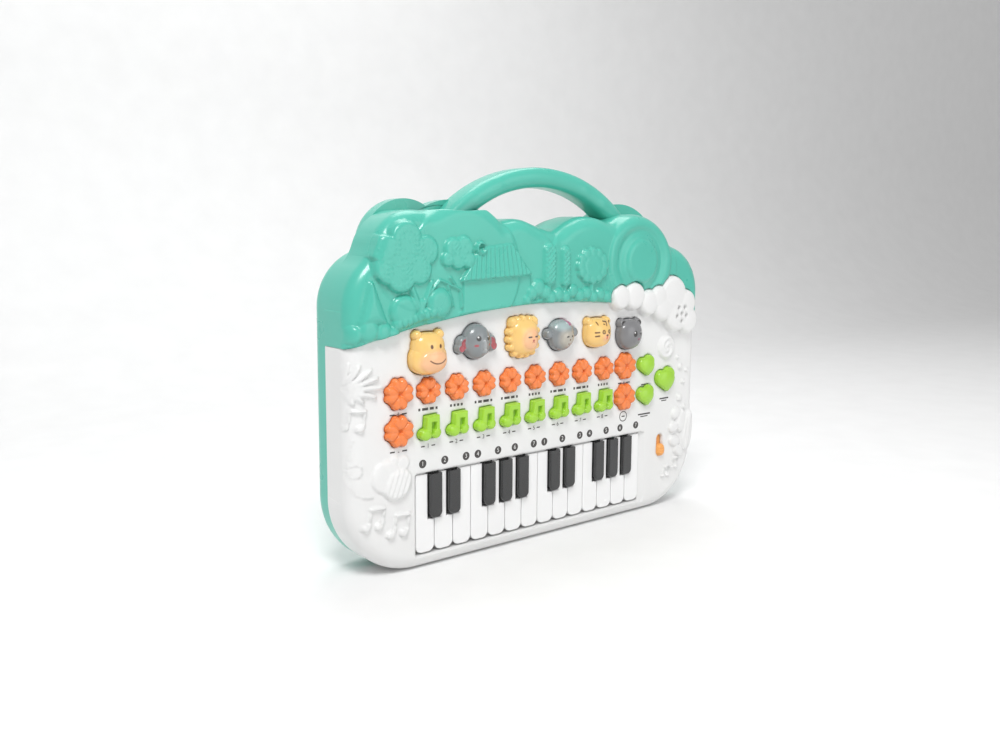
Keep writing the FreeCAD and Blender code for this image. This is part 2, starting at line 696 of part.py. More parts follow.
def flower(name, x, z, radius):
    """Round stem with a ring of petals, made once and patterned around its centre."""
    body = doc.addObject("PartDesign::Body", name + "_flower")
    sketch = attach(body.newObject("Sketcher::SketchObject", name + "_hub"), body, "XY_Plane")
    sketch.addGeometry(Part.Circle(FreeCAD.Vector(), FreeCAD.Vector(0, 0, 1), value(radius) * 0.6), False)
    sketch.addConstraint(Sketcher.Constraint("Coincident", 0, 3, -1, 1))
    row = sketch.addConstraint(Sketcher.Constraint("Radius", 0, value(radius) * 0.6))
    sketch.setExpression(f"Constraints[{row}]", sized(f"{radius} * (1 - petal_share)"))
    length = "flange_middle - panel_y + button_proud"
    pad(body, name + "_stem", sketch, length)
    petal_sketch = attach(body.newObject("Sketcher::SketchObject", name + "_petal"), body, "XY_Plane")
    petal_sketch.addGeometry(Part.Circle(FreeCAD.Vector(value(radius) * 0.7, 0, 0),
                                         FreeCAD.Vector(0, 0, 1), value(radius) * 0.3), False)
    petal_sketch.addConstraint(Sketcher.Constraint("PointOnObject", 0, 3, -1))
    row = petal_sketch.addConstraint(Sketcher.Constraint("DistanceX", -1, 1, 0, 3, value(radius) * 0.7))
    petal_sketch.setExpression(f"Constraints[{row}]", sized(f"{radius} * (1 - petal_share)"))
    row = petal_sketch.addConstraint(Sketcher.Constraint("Radius", 0, value(radius) * 0.3))
    petal_sketch.setExpression(f"Constraints[{row}]", sized(f"{radius} * petal_share"))
    petal = pad(body, name + "_petal_pad", petal_sketch, length)
    pattern = body.newObject("PartDesign::PolarPattern", name + "_petals")
    pattern.Originals = [petal]
    pattern.Axis = (next(i for i in body.Origin.OriginFeatures if i.Role == "Z_Axis"), [""])
    pattern.Occurrences = PETALS
    pattern.Angle = 360
    body.Tip = pattern
    settle()
    body.Placement = turned((1, 0, 0), 90)
    return at(body, x, "flange_middle", z)


def build_buttons():
    """Everything that is pressed through the panel, except the keys."""
    for animal in ANIMALS:
        name = f"{animal[0]}_button"
        x, z = f"{animal[0]}_x", f"(animal_row + {animal[0]}_rise)"
        head = animal_outline(animal)(name, x, z, "panel_y - animal_proud", "flange_middle", "0")
        plate = flange(name, x, z, f"{animal[0]}_wide + 1.2", f"{animal[0]}_high - 1.5")
        finish_part(fuse(name + "_whole", head + [plate]), name)
    rail = block("rhythm_rail", (f"{column(1)} - flower_radius", f"{column(8)} + flower_radius"),
                 ("flange_front", "flange_back"),
                 ("flower_row - flower_radius", "flower_row + flower_radius"))
    bank = [flower(f"rhythm_{i}", column(i), "flower_row", "flower_radius") for i in FLOWER_COLUMNS]
    finish_part(fuse("rhythm_bank_whole", bank + [rail]), "rhythm_button_bank")
    for name, place, row in BIG_FLOWERS:
        head = flower(name, column(place), row, "big_flower_radius")
        plate = flange(name, column(place), row, "big_flower_radius - play", "big_flower_radius - play")
        finish_part(fuse(name + "_whole", [head, plate]), name)
    for index in FLOWER_COLUMNS:
        name = f"note_button_{index}"
        head = note_outline(name, column(index), "note_row", "panel_y - button_proud", "flange_middle", "0")
        plate = flange(name, column(index), "note_row", "note_wide / 2 + note_head", "note_high / 2")
        finish_part(fuse(name + "_whole", head + [plate]), name)
    for name, place, row, side in HEARTS:
        head = heart_outline(side)(name, column(place), row, "panel_y - button_proud", "flange_middle", "0")
        plate = flange(name, column(place), row, f"{side} * heart_flange", f"{side} * heart_flange")
        finish_part(fuse(name + "_whole", head + [plate]), name)


def add_barrel(body, name, start, length):
    """Round boss and bore at the pivot, along X."""
    boss = attach(body.newObject("PartDesign::AdditiveCylinder", name + "_barrel"), body, "YZ_Plane",
                  "pivot_y", "pivot_z", start)
    bind(boss, Radius="barrel_radius", Height=length)
    settle()
    bore = attach(body.newObject("PartDesign::SubtractiveCylinder", name + "_bore"), body, "YZ_Plane",
                  "pivot_y", "pivot_z", f"{start} - 1")
    bind(bore, Radius="pivot_radius + pivot_clearance", Height=f"{length} + 2")
    settle()


def build_white_key(index):
    """White key: plan outline with room for its black neighbours, a lowered tail and a barrel."""
    note = index % 7
    name = f"white_key_{index + 1:02d}"
    body = doc.addObject("PartDesign::Body", name)
    full = "(key_pitch - key_gap) / 2"
    notched = "key_pitch / 2 - black_width / 2 - key_gap"
    black_left = note > 0 and note - 1 in BLACK_AFTER
    black_right = note in BLACK_AFTER
    left = f"-({notched})" if black_left else f"-({full})"
    right = notched if black_right else full
    step = "black_low - tray_gap"
    points = [(f"-({full})", "key_low"), (full, "key_low")]
    if black_right:
        points += [(full, step), (right, step)]
    points += [(right, "pivot_z"), (left, "pivot_z")]
    if black_left:
        points += [(left, step), (f"-({full})", step)]
    sketch = sketch_polygon(body, name + "_plan", "XZ_Plane", points, z="-key_bottom")
    blank = pad(body, name + "_blank", sketch, "key_thick")
    low = value("key_low")
    ends = round_edges(body, name + "_ends", blank, "key_corner",
                       lambda edge: edge.BoundBox.YLength > 1 and edge.BoundBox.ZMax < low + 1e-3)
    top = value("key_top")
    round_edges(body, name + "_edges", ends, "key_edge",
                lambda edge: edge.BoundBox.YLength < 1e-4 and abs(edge.BoundBox.YMin - top) < 1e-4)
    tail = attach(body.newObject("PartDesign::SubtractiveBox", name + "_tail"), body, "XY_Plane",
                  "-key_pitch", "key_top - 1", "tray_top - tray_gap")
    bind(tail, Length="2 * key_pitch", Width="tail_top - key_top + 1", Height="2 * pivot_setback")
    settle()
    add_barrel(body, name, left, f"({right}) - ({left})")
    at(body, f"keyboard_shift + ({index} - 6.5) * key_pitch")
    finish_part(body, name)


def build_black_key(number, index):
    """Black key over the gap to the right of white key `index`."""
    name = f"black_key_{number:02d}"
    body = doc.addObject("PartDesign::Body", name)
    half = "black_width / 2"
    points = [(f"-{half}", "black_low"), (half, "black_low"), (half, "pivot_z"), (f"-{half}", "pivot_z")]
    sketch = sketch_polygon(body, name + "_plan", "XZ_Plane", points, z="-key_bottom")
    blank = pad(body, name + "_blank", sketch, "key_bottom - panel_y + black_rise")
    low = value("black_low")
    ends = round_edges(body, name + "_ends", blank, "black_corner",
                       lambda edge: edge.BoundBox.YLength > 1 and edge.BoundBox.ZMax < low + 1e-3)
    crest = value("panel_y - black_rise")
    round_edges(body, name + "_edges", ends, "black_edge",
                lambda edge: edge.BoundBox.YLength < 1e-4 and abs(edge.BoundBox.YMin - crest) < 1e-4)
    tail = attach(body.newObject("PartDesign::SubtractiveBox", name + "_tail"), body, "XY_Plane",
                  "-key_pitch", "panel_y - black_rise - 1", "tray_top - tray_gap")
    bind(tail, Length="2 * key_pitch", Width="tail_top - panel_y + black_rise + 1",
         Height="2 * pivot_setback")
    settle()
    add_barrel(body, name, f"-{half}", "black_width")
    at(body, f"keyboard_shift + ({index} - 6) * key_pitch")
    finish_part(body, name)


def build_keys():
    for index in range(WHITE_KEYS):
        build_white_key(index)
    sharps = [index for index in range(WHITE_KEYS) if index % 7 in BLACK_AFTER]
    for number, index in enumerate(sharps, start=1):
        build_black_key(number, index)


def build_key_frame():
    """Rod that the keys turn on, its end brackets and the bar behind them."""
    left = "keyboard_shift - keys_half - tray_gap"
    right = "keyboard_shift + keys_half + tray_gap"
    rod = axle("pivot_rod", (f"{left} - bracket", f"{right} + bracket"), "pivot_y", "pivot_z", "pivot_radius")
    low, high = "pivot_z - barrel_radius", "pivot_z + barrel_radius"
    depth = ("tail_top", "key_board_front")
    ends = [block("bracket_left", (f"{left} - bracket", left), depth, (low, high)),
            block("bracket_right", (right, f"{right} + bracket"), depth, (low, high))]
    rail = block("frame_rail", (f"{left} - bracket", f"{right} + bracket"),
                 ("key_board_front - frame_plate", "key_board_front"), (low, high))
    finish_part(fuse("key_frame_whole", [rod, rail] + ends), "key_frame")


def dome_field(name, places, tip, base):
    """Rubber domes, all of one height, at a list of places."""
    return [pill(f"{name}_{i}", x, z, "dome_radius", tip, base, "dome_radius / 3")
            for i, (x, z) in enumerate(places, start=1)]


def build_key_contacts():
    strip = block("key_pad", ("keyboard_shift - keys_half", "keyboard_shift + keys_half"),
                  ("key_pad_front", "key_board_front"),
                  ("key_dome_z - 2 * dome_radius", "key_dome_z + 2 * dome_radius"))
    places = [(f"keyboard_shift + ({i} - 6.5) * key_pitch", "key_dome_z - dome_radius / 2")
              for i in range(WHITE_KEYS)]
    domes = dome_field("key_dome", places, "key_dome_tip", "key_pad_front + pad_thick / 2")
    finish_part(fuse("key_contacts_whole", [strip] + domes), "key_contact_strip")


def button_centres():
    places = [(f"{a[0]}_x", f"animal_row + {a[0]}_rise") for a in ANIMALS]
    places += [(column(i), row) for i in FLOWER_COLUMNS for row in ("flower_row", "note_row")]
    places += [(column(place), row) for name, place, row in BIG_FLOWERS]
    return places + [(column(place), row) for name, place, row, side in HEARTS]


def board_outline(name, front, back, margin):
    """Main board: a wide part behind all the buttons and a lower part beside the speaker."""
    left = f"{column(0)} - big_flower_radius + ({margin})"
    low = "pivot_z + barrel_radius + play"
    wide = block(name + "_wide", (left, f"{column(9)} + big_flower_radius - ({margin})"), (front, back),
                 (f"{low} + ({margin})", f"animal_row + button_pitch / 2 - ({margin})"))
    side = block(name + "_side", (f"{column(9)}", f"{column(11)} + big_flower_radius - ({margin})"),
                 (front, back), (f"{low} + ({margin})", f"flower_row + flower_radius - ({margin})"))
    return [wide, side]


def build_electronics():
    pad_shapes = board_outline("pad", "pad_front", "board_front", "play")
    domes = dome_field("pad_dome", button_centres(), "dome_tip", "pad_front + pad_thick / 2")
    finish_part(fuse("button_pad_whole", pad_shapes + domes), "button_pad")

    main = fuse("main_board", board_outline("board", "board_front", "board_back", "0"))
    key_board = block("key_board", ("keyboard_shift - keys_half", "keyboard_shift + keys_half"),
                      ("key_board_front", "key_board_back"),
                      ("key_dome_z - 4 * dome_radius", "key_dome_z + 4 * dome_radius"))
    chip = bar("sound_chip", "row_shift", "animal_row", "2 * dome_radius", "board_back", "board_back + 2")
    capacitor = bar("capacitor", column(8), "animal_row", "dome_radius", "board_back", "board_back + 5")
    plug = block("lead_plug", (column(2), f"{column(2)} + button_pitch / 2"),
                 ("board_back", "board_back + 5"),
                 ("animal_row - 3", "animal_row + 3"))
    finish_part(gather("boards_whole", [fuse("main_board_fitted", [main, chip, capacitor, plug]), key_board]),
                "circuit_boards")

    frame = bar("speaker_frame", "speaker_x", "speaker_z", "speaker_radius", "flange_front",
                "flange_front + wall")
    cone = doc.addObject("Part::Cone", "speaker_basket")
    cone.Placement = turned((1, 0, 0), -90)
    bind(cone, Radius1="speaker_radius - wall", Radius2="speaker_radius / 2", Height="speaker_deep / 3")
    at(cone, "speaker_x", "flange_front + wall", "speaker_z")
    magnet = bar("speaker_magnet", "speaker_x", "speaker_z", "speaker_radius / 2",
                 "flange_front + wall + speaker_deep / 3", "flange_front + speaker_deep")
    finish_part(fuse("speaker_whole", [frame, cone, magnet]), "speaker")


def build_power():
    """Battery cells, their contacts, the door with its screw, and the slide switch."""
    cells = []
    contacts = []
    for index in range(CELLS):
        z = f"bay_z + ({index} - 1) * cell_pitch"
        cells.append(axle(f"cell_{index + 1}", ("-cell_length / 2", "cell_length / 2"), "cell_y", z,
                          "cell_radius"))
        for side, start, end in (("left", "-bay_half", "-cell_length / 2"),
                                 ("right", "cell_length / 2", "bay_half")):
            contacts.append(axle(f"contact_{side}_{index + 1}", (start, end), "cell_y", z, "spring_radius"))
    finish_part(gather("cells_whole", cells), "battery_cells")
    finish_part(gather("contacts_whole", contacts), "battery_contacts")

    body = doc.addObject("PartDesign::Body", "door_body")
    points = [("-door_half", "bay_z - door_high"), ("door_half", "bay_z - door_high"),
              ("door_half", "bay_z + door_high"), ("-door_half", "bay_z + door_high")]
    plate = pad(body, "door_plate", sketch_polygon(body, "door_outline", "XZ_Plane", points, z="-back_y"),
                "door_thick")
    hole = attach(body.newObject("PartDesign::SubtractiveCylinder", "door_hole"), body, "XZ_Plane",
                  "0", "bay_z + door_high - door_ledge / 2", "-back_y - 1")
    bind(hole, Radius="screw_radius + screw_clearance", Height="door_thick + 2")
    settle()
    sink = attach(body.newObject("PartDesign::SubtractiveCylinder", "door_sink"), body, "XZ_Plane",
                  "0", "bay_z + door_high - door_ledge / 2", "-back_y - 1")
    bind(sink, Radius="screw_head + play", Height="door_thick / 2 + 1")
    finish_part(body, "battery_door")
    shank = bar("door_screw_shank", "0", "bay_z + door_high - door_ledge / 2", "screw_radius",
                "door_front - well_depth / 2", "back_y - door_thick / 2")
    head = bar("door_screw_head", "0", "bay_z + door_high - door_ledge / 2", "screw_head",
               "back_y - door_thick / 2", "back_y")
    finish_part(fuse("door_screw_whole", [shank, head]), "battery_door_screw")

    knob_z = "switch_z - switch_travel / 2"
    cap = pill("knob_cap", "switch_x", knob_z, "knob_radius", "panel_y - play - knob_proud", "panel_y - play",
               "knob_proud / 2")
    stem = block("knob_stem", ("switch_x - stem_wide / 2", "switch_x + stem_wide / 2"),
                 ("panel_y - play", "flange_middle"),
                 (f"{knob_z} - stem_high / 2", f"{knob_z} + stem_high / 2"))
    keeper = flange("knob", "switch_x", knob_z, "stem_wide", "stem_high / 2 + play")
    finish_part(fuse("knob_whole", [cap, stem, keeper]), "power_knob")


def build_screws():
    screws = []
    for index, (x, z) in enumerate(all_posts(), start=1):
        shank = bar(f"screw_shank_{index}", x, z, "screw_radius", "screw_tip", "well_floor")
        head = bar(f"screw_head_{index}", x, z, "screw_head", "well_floor", "well_floor + screw_radius")
        screws.append(fuse(f"screw_{index}", [shank, head]))
    finish_part(gather("screws_whole", screws), "case_screws")


def check_document():
    """Stops if any object failed or any sub-part has no sound shape."""
    settle()
    unsound = [p.Label for p in PARTS if p.Shape.isNull() or not p.Shape.isValid()]
    if unsound:
        raise RuntimeError(f"unsound shapes: {unsound}")


def write_parts():
    os.makedirs("parts", exist_ok=True)
    for thing in PARTS:
        thing.Shape.exportStep(f"parts/{thing.Label}.step")
        print(f"{thing.Label}: {len(thing.Shape.Solids)} solids, {thing.Shape.Volume:.0f} mm3")
    print(len(PARTS), "sub-parts")


build_buttons()
build_keys()
build_key_frame()
build_key_contacts()
build_electronics()
build_power()
build_screws()
build_case()
check_document()
write_parts()
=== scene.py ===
import json
import math

import bpy
import numpy as np
from mathutils import Matrix, Vector


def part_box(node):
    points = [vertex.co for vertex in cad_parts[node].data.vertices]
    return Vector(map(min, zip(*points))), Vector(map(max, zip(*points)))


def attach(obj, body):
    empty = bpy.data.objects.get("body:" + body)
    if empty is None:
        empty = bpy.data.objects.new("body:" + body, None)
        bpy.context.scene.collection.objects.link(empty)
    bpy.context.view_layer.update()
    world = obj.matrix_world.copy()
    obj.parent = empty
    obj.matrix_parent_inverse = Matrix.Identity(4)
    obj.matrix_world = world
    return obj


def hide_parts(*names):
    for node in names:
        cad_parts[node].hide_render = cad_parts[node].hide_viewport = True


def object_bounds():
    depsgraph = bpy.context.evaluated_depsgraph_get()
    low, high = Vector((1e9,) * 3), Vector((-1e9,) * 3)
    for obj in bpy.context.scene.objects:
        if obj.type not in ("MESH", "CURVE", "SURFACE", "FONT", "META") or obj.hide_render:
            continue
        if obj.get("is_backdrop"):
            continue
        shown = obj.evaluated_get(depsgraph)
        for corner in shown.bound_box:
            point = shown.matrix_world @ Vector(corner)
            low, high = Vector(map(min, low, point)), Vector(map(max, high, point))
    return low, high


# Visual model of the toy keyboard. The moulded pieces are height fields: a grid over the face in x
# and z, pulled onto each outline and raised towards -Y. Lengths here are millimetres in the CAD's
# frame, and MM turns them into metres when a mesh is made.
MM = 0.001

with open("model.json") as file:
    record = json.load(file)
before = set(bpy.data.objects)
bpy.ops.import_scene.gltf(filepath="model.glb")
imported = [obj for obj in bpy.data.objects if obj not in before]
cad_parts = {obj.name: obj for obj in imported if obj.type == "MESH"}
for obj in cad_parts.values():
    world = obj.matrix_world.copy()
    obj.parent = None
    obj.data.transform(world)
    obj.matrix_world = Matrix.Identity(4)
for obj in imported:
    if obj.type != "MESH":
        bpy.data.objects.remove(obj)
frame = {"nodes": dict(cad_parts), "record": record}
cad_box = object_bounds()


def centre(node):
    """Middle of a CAD node in x and z."""
    low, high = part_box(node)
    return (low.x + high.x) / 2 / MM, (low.z + high.z) / 2 / MM


# Places and depths read from the frame.
HALF_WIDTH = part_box("back_shell")[1].x / MM
BACK_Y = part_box("back_shell")[1].y / MM
PANEL_Y = -BACK_Y
PARTING_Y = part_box("front_shell")[1].y / MM
GREEN_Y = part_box("top_shell")[0].y / MM
KEY_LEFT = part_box("white_key_01")[0].x / MM - 0.65
KEY_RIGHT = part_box("white_key_14")[1].x / MM + 0.65
KEY_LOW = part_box("white_key_01")[0].z / MM - 0.9
NOTE_ROW = centre("tempo_down_button")[1]
FLOWER_ROW = centre("tempo_up_button")[1]
# Sizes that the frame's boxes don't give.
KEY_HIGH = NOTE_ROW - 27.0
SEAM_CROWN = FLOWER_ROW + 46.0
SEAM_RADIUS = 530.0
CASE_TOP = SEAM_CROWN + 34.0
FOOT_CORNER, SHOULDER_CORNER = 45.0, 33.0
EDGE_ROUND = 9.0
JOIN_WIDTH = 6.0
WALL = 2.4
TRAY_DEPTH = 11.5
HANDLE_X, HANDLE_Z = 4.0, SEAM_CROWN - 22.0
HANDLE_RADIUS, HANDLE_HALF = 98.75, 6.25
# Hills as discs: x, rise over the seam's crown, radius and how far the hill stands out.
HILLS = [(-98, 27.5, 28, 0.3), (-66, 21, 40, 1.8), (-25, 23, 28, 0.8), (-6, 21, 24.5, 0.2),
         (34, 11, 42, 1.4), (76, 15, 40, 0.4)]
# The back layer's hills and the cloud's puffs, given the same way but for the last.
BACK_HILLS = [(-90, 34, 28), (-58, 22, 40), (-22, 23, 28), (-4, 20, 24.5), (36, 10, 42), (84, 22, 40)]
CLOUD = [(60, 0.5, 9), (73, 1, 10), (87, -4, 9.5), (96.5, -1, 9), (101, -8, 10),
         (111, 0, 14), (116, -13, 13), (125, -6, 10), (127.5, -18, 10)]
DARK = (0.035, 0.033, 0.032)


# ---- Outlines: signed distance, negative inside --------------------------------------------------

def circle(p, x, z, radius):
    return np.hypot(p[..., 0] - x, p[..., 1] - z) - radius


def turn(p, x, z, degrees):
    """Coordinates in a frame at (x, z) turned clockwise by some degrees."""
    a = math.radians(degrees)
    dx, dz = p[..., 0] - x, p[..., 1] - z
    return np.stack([dx * math.cos(a) - dz * math.sin(a), dx * math.sin(a) + dz * math.cos(a)], -1)


def rect(p, x, z, half_x, half_z, corner=0.0, degrees=0.0):
    q = np.abs(turn(p, x, z, degrees)) - (half_x - corner, half_z - corner)
    outside = np.hypot(np.maximum(q[..., 0], 0), np.maximum(q[..., 1], 0))
    return outside + np.minimum(np.maximum(q[..., 0], q[..., 1]), 0) - corner


def ellipse(p, x, z, half_x, half_z, degrees=0.0):
    q = turn(p, x, z, degrees) / (half_x, half_z)
    length = np.hypot(q[..., 0], q[..., 1])
    slope = np.hypot(q[..., 0] / half_x, q[..., 1] / half_z) / np.maximum(length, 1e-6)
    return (length - 1) / np.maximum(slope, 1e-6)


def squircle(p, x, z, half_x, half_z, power):
    """Between an ellipse (power 2) and a rectangle."""
    q = np.abs(p - (x, z)) / (half_x, half_z)
    length = (q[..., 0] ** power + q[..., 1] ** power) ** (1 / power)
    return (length - 1) * min(half_x, half_z)


def stroke(p, a, b, radius):
    """Round-ended bar from a to b."""
    a, b = np.array(a, float), np.array(b, float)
    along = np.clip(((p - a) @ (b - a)) / ((b - a) @ (b - a)), 0, 1)
    return np.hypot(*np.moveaxis(p - a - along[..., None] * (b - a), -1, 0)) - radius


def convex(p, corners):
    """Convex polygon, its corners anticlockwise."""
    sides = []
    for (ax, az), (bx, bz) in zip(corners, corners[1:] + corners[:1]):
        length = math.hypot(bx - ax, bz - az)
        sides.append(((bz - az) * (p[..., 0] - ax) - (bx - ax) * (p[..., 1] - az)) / length)
    return np.maximum.reduce(sides)


def union(shapes):
    return np.minimum.reduce(list(shapes))


def smooth_union(shapes, width):
    """Union whose inner corners are filleted over a width."""
    joined = shapes[0]
    for shape in shapes[1:]:
        near = np.clip(1 - np.abs(joined - shape) / width, 0, 1)
        joined = np.minimum(joined, shape) - width * near ** 2 / 4
    return joined


def circles(p, discs):
    return union(circle(p, *disc) for disc in discs)


def pillow(outline, height, edge):
    """Raised shape: a quarter ellipse up from its outline, flat beyond the edge width."""
    inside = np.clip(-outline / edge, 0, 1)
    return height * np.sqrt(1 - (1 - inside) ** 2)


def flat_height(p, drop):
    return np.zeros(p.shape[:-1])


def groove(distance, depth, width):
    return -depth * np.exp(-(distance / width) ** 2)


def ribs(distance, pitch, depth):
    """Even ridges across a distance."""
    return depth * np.cos(2 * math.pi * distance / pitch)


def slab(p):
    """The case: a plate with large round corners at the foot and smaller ones at the shoulders."""
    corner = np.where(p[..., 1] < CASE_TOP / 2, FOOT_CORNER, SHOULDER_CORNER)
    qx = np.abs(p[..., 0]) - HALF_WIDTH + corner
    qz = np.abs(p[..., 1] - CASE_TOP / 2) - CASE_TOP / 2 + corner
    outside = np.hypot(np.maximum(qx, 0), np.maximum(qz, 0))
    return outside + np.minimum(np.maximum(qx, qz), 0) - corner


def seam(p):
    return circle(p, 0, SEAM_CROWN - SEAM_RADIUS, SEAM_RADIUS)


def cloud(p):
    return union(circle(p, x, SEAM_CROWN + rise, radius) for x, rise, radius in CLOUD)


def hills(p):
    return smooth_union([circle(p, x, SEAM_CROWN + rise, radius) for x, rise, radius, _ in HILLS], JOIN_WIDTH)


# ---- Meshes --------------------------------------------------------------------------------------

def make_object(name, points, faces, material, body="case", tint=None, smooth=True):
    mesh = bpy.data.meshes.new(name)
    mesh.from_pydata((np.asarray(points) * MM).tolist(), [], [list(map(int, face)) for face in faces])
    mesh.polygons.foreach_set("use_smooth", [smooth] * len(mesh.polygons))
    if tint is not None:
        layer = mesh.color_attributes.new("tint", "FLOAT_COLOR", "POINT")
        rgba = np.ones((len(points), 4), np.float32)
        rgba[:, :3] = tint
        layer.data.foreach_set("color", rgba.ravel())
    mesh.materials.append(material)
    piece = bpy.data.objects.new(name, mesh)
    bpy.context.scene.collection.objects.link(piece)
    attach(piece, body)
    return piece


def slope_of(outline, p, step=0.05):
    dx = outline(p + (step, 0)) - outline(p - (step, 0))
    dz = outline(p + (0, step)) - outline(p - (0, step))
    grad = np.stack([dx, dz], -1) / (2 * step)
    return grad / np.maximum(np.linalg.norm(grad, axis=-1, keepdims=True), 1e-6)


def snap(p, chosen, outline, level):
    """Moves the chosen points onto a level of an outline, in two short steps."""
    for _ in range(2):
        move = (level - outline(p))[..., None] * slope_of(outline, p)
        p = np.where(chosen[..., None], p + np.clip(move, -1.2, 1.2), p)
    return p


def beside(mask):
    """Grid points with at least one neighbour in the mask."""
    grown = np.zeros_like(mask)
    wide = np.pad(mask, 1)
    for i in range(3):
        for j in range(3):
            grown |= wide[i:i + mask.shape[0], j:j + mask.shape[1]]
    return grown


def border_edges(faces):
    """Directed edges that only one face uses."""
    edges = np.concatenate([np.stack([faces[:, k], faces[:, (k + 1) % 4]], 1) for k in range(4)])
    keys = np.sort(edges, axis=1)
    _, first, count = np.unique(keys, axis=0, return_index=True, return_counts=True)
    return edges[first[count == 1]]


def cell_corners(grid):
    """The four values around each cell of a grid."""
    around = [grid[:-1, :-1], grid[1:, :-1], grid[1:, 1:], grid[:-1, 1:]]
    return np.stack(around, -1).reshape(-1, 4)


def relief(name, span, step, outline, height, base_y, material, body="case", hole=None,
           rim=None, rim_y=None, cut_y=None, hole_y=None, tint=None):
    """Height field over an outline.

    outline bounds the piece, rim is the part of it that turns over the case's rounded edge, and hole
    is what is left open. height(p, drop) is how far a point stands out of the plane y = base_y, where
    drop is how far the rounded edge falls back there. The borders run back to rim_y, to cut_y and, in
    the holes, to hole_y.
    """
    x0, x1, z0, z1 = span
    xs = np.arange(x0, x1 + step, step)
    zs = np.arange(z0, z1 + step, step)
    p = np.stack(np.meshgrid(xs, zs, indexing="ij"), -1)
    inside = outline(p) <= 0
    kept = inside.copy()
    edge = inside & beside(~inside)
    drop = np.zeros(p.shape[:2])
    p = snap(p, edge, outline, 0.0)
    if rim is not None:
        depth = np.clip(-rim(p), 0, EDGE_ROUND)
        angle = depth / EDGE_ROUND * math.pi / 2
        nearer = EDGE_ROUND * (1 - np.cos(angle))
        shift = (depth - nearer)[..., None] * slope_of(rim, p)
        p = np.where((inside & ~edge)[..., None], p + shift, p)
        depth = np.clip(-rim(p), 0, EDGE_ROUND)
        drop = EDGE_ROUND - np.sqrt(np.maximum(EDGE_ROUND ** 2 - (EDGE_ROUND - depth) ** 2, 0))
    inner = np.zeros_like(inside)
    if hole is not None:
        inner = (hole(p) < 0.35) & inside
        lip = ~inner & beside(inner) & inside
        low = inner & beside(~inner)
        p = snap(p, lip, hole, 0.5)
        p = snap(p, low, hole, 0.2)
        kept &= ~(inner & ~low)
        inner = low
    y = base_y - height(p, drop)
    if hole is not None:
        y = np.where(inner, base_y + WALL, y)

    number = -np.ones(p.shape[:2], int)
    number[kept] = np.arange(kept.sum())
    corners = cell_corners(number)
    all_low = cell_corners(inner)
    faces = corners[(corners >= 0).all(1) & ~all_low.all(1)]
    flat = p[kept]
    points = np.stack([flat[:, 0], y[kept], flat[:, 1]], 1)
    inner_flat = inner[kept]
    colours = tint(flat) if tint is not None else None

    edges = border_edges(faces)
    side = np.full(len(points), base_y + WALL if cut_y is None else cut_y, float)
    if rim is not None:
        side = np.where(rim(flat) > -0.6, rim_y, side)
    if hole is not None:
        side = np.where(inner_flat, hole_y(flat) if callable(hole_y) else hole_y, side)
    used = np.unique(edges)
    link = -np.ones(len(points), int)
    link[used] = len(points) + np.arange(len(used))
    skirt = points[used].copy()
    skirt[:, 1] = np.maximum(side[used], skirt[:, 1] + 0.01)
    walls = np.stack([edges[:, 1], edges[:, 0], link[edges[:, 0]], link[edges[:, 1]]], 1)
    points = np.concatenate([points, skirt])
    faces = np.concatenate([faces, walls])
    if colours is not None:
        colours = np.concatenate([colours, colours[used]])
    return make_object(name, points, faces, material, body, colours)


# ---- Materials -----------------------------------------------------------------------------------

def plastic(name, colour, rough=0.32, speck=0.012, grain=0.35, coat=0.0, tinted=False, metal=0.0):
    """Moulded plastic: faint mottling in the colour, uneven gloss and a fine moulded grain."""
    material = bpy.data.materials.new(name)
    material.use_nodes = True
    nodes, links = material.node_tree.nodes, material.node_tree.links
    shader = nodes["Principled BSDF"]
    where = nodes.new("ShaderNodeTexCoord")
    cloudy = nodes.new("ShaderNodeTexNoise")
    cloudy.inputs["Scale"].default_value = 28.0
    cloudy.inputs["Detail"].default_value = 4.0
    links.new(where.outputs["Object"], cloudy.inputs["Vector"])
    mix = nodes.new("ShaderNodeMix")
    mix.data_type = "RGBA"
    links.new(cloudy.outputs["Fac"], mix.inputs["Factor"])
    if tinted:
        paint = nodes.new("ShaderNodeAttribute")
        paint.attribute_name = "tint"
        shade = nodes.new("ShaderNodeHueSaturation")
        shade.inputs["Value"].default_value = 1 - 4 * speck
        links.new(paint.outputs["Color"], shade.inputs["Color"])
        links.new(shade.outputs["Color"], mix.inputs["A"])
        links.new(paint.outputs["Color"], mix.inputs["B"])
    else:
        mix.inputs["A"].default_value = (*[max(c * (1 - 4 * speck), 0) for c in colour], 1)
        mix.inputs["B"].default_value = (*[min(c * (1 + 2 * speck) + speck / 4, 1) for c in colour], 1)
    links.new(mix.outputs["Result"], shader.inputs["Base Color"])
    fine = nodes.new("ShaderNodeTexNoise")
    fine.inputs["Scale"].default_value = 900.0
    links.new(where.outputs["Object"], fine.inputs["Vector"])
    gloss = nodes.new("ShaderNodeMapRange")
    gloss.inputs["To Min"].default_value = rough - 0.05
    gloss.inputs["To Max"].default_value = rough + 0.07
    links.new(cloudy.outputs["Fac"], gloss.inputs["Value"])
    links.new(gloss.outputs["Result"], shader.inputs["Roughness"])
    bump = nodes.new("ShaderNodeBump")
    bump.inputs["Strength"].default_value = grain
    bump.inputs["Distance"].default_value = 0.00003
    links.new(fine.outputs["Fac"], bump.inputs["Height"])
    links.new(bump.outputs["Normal"], shader.inputs["Normal"])
    shader.inputs["Metallic"].default_value = metal
    shader.inputs["Coat Weight"].default_value = coat
    shader.inputs["Coat Roughness"].default_value = 0.12
    return material


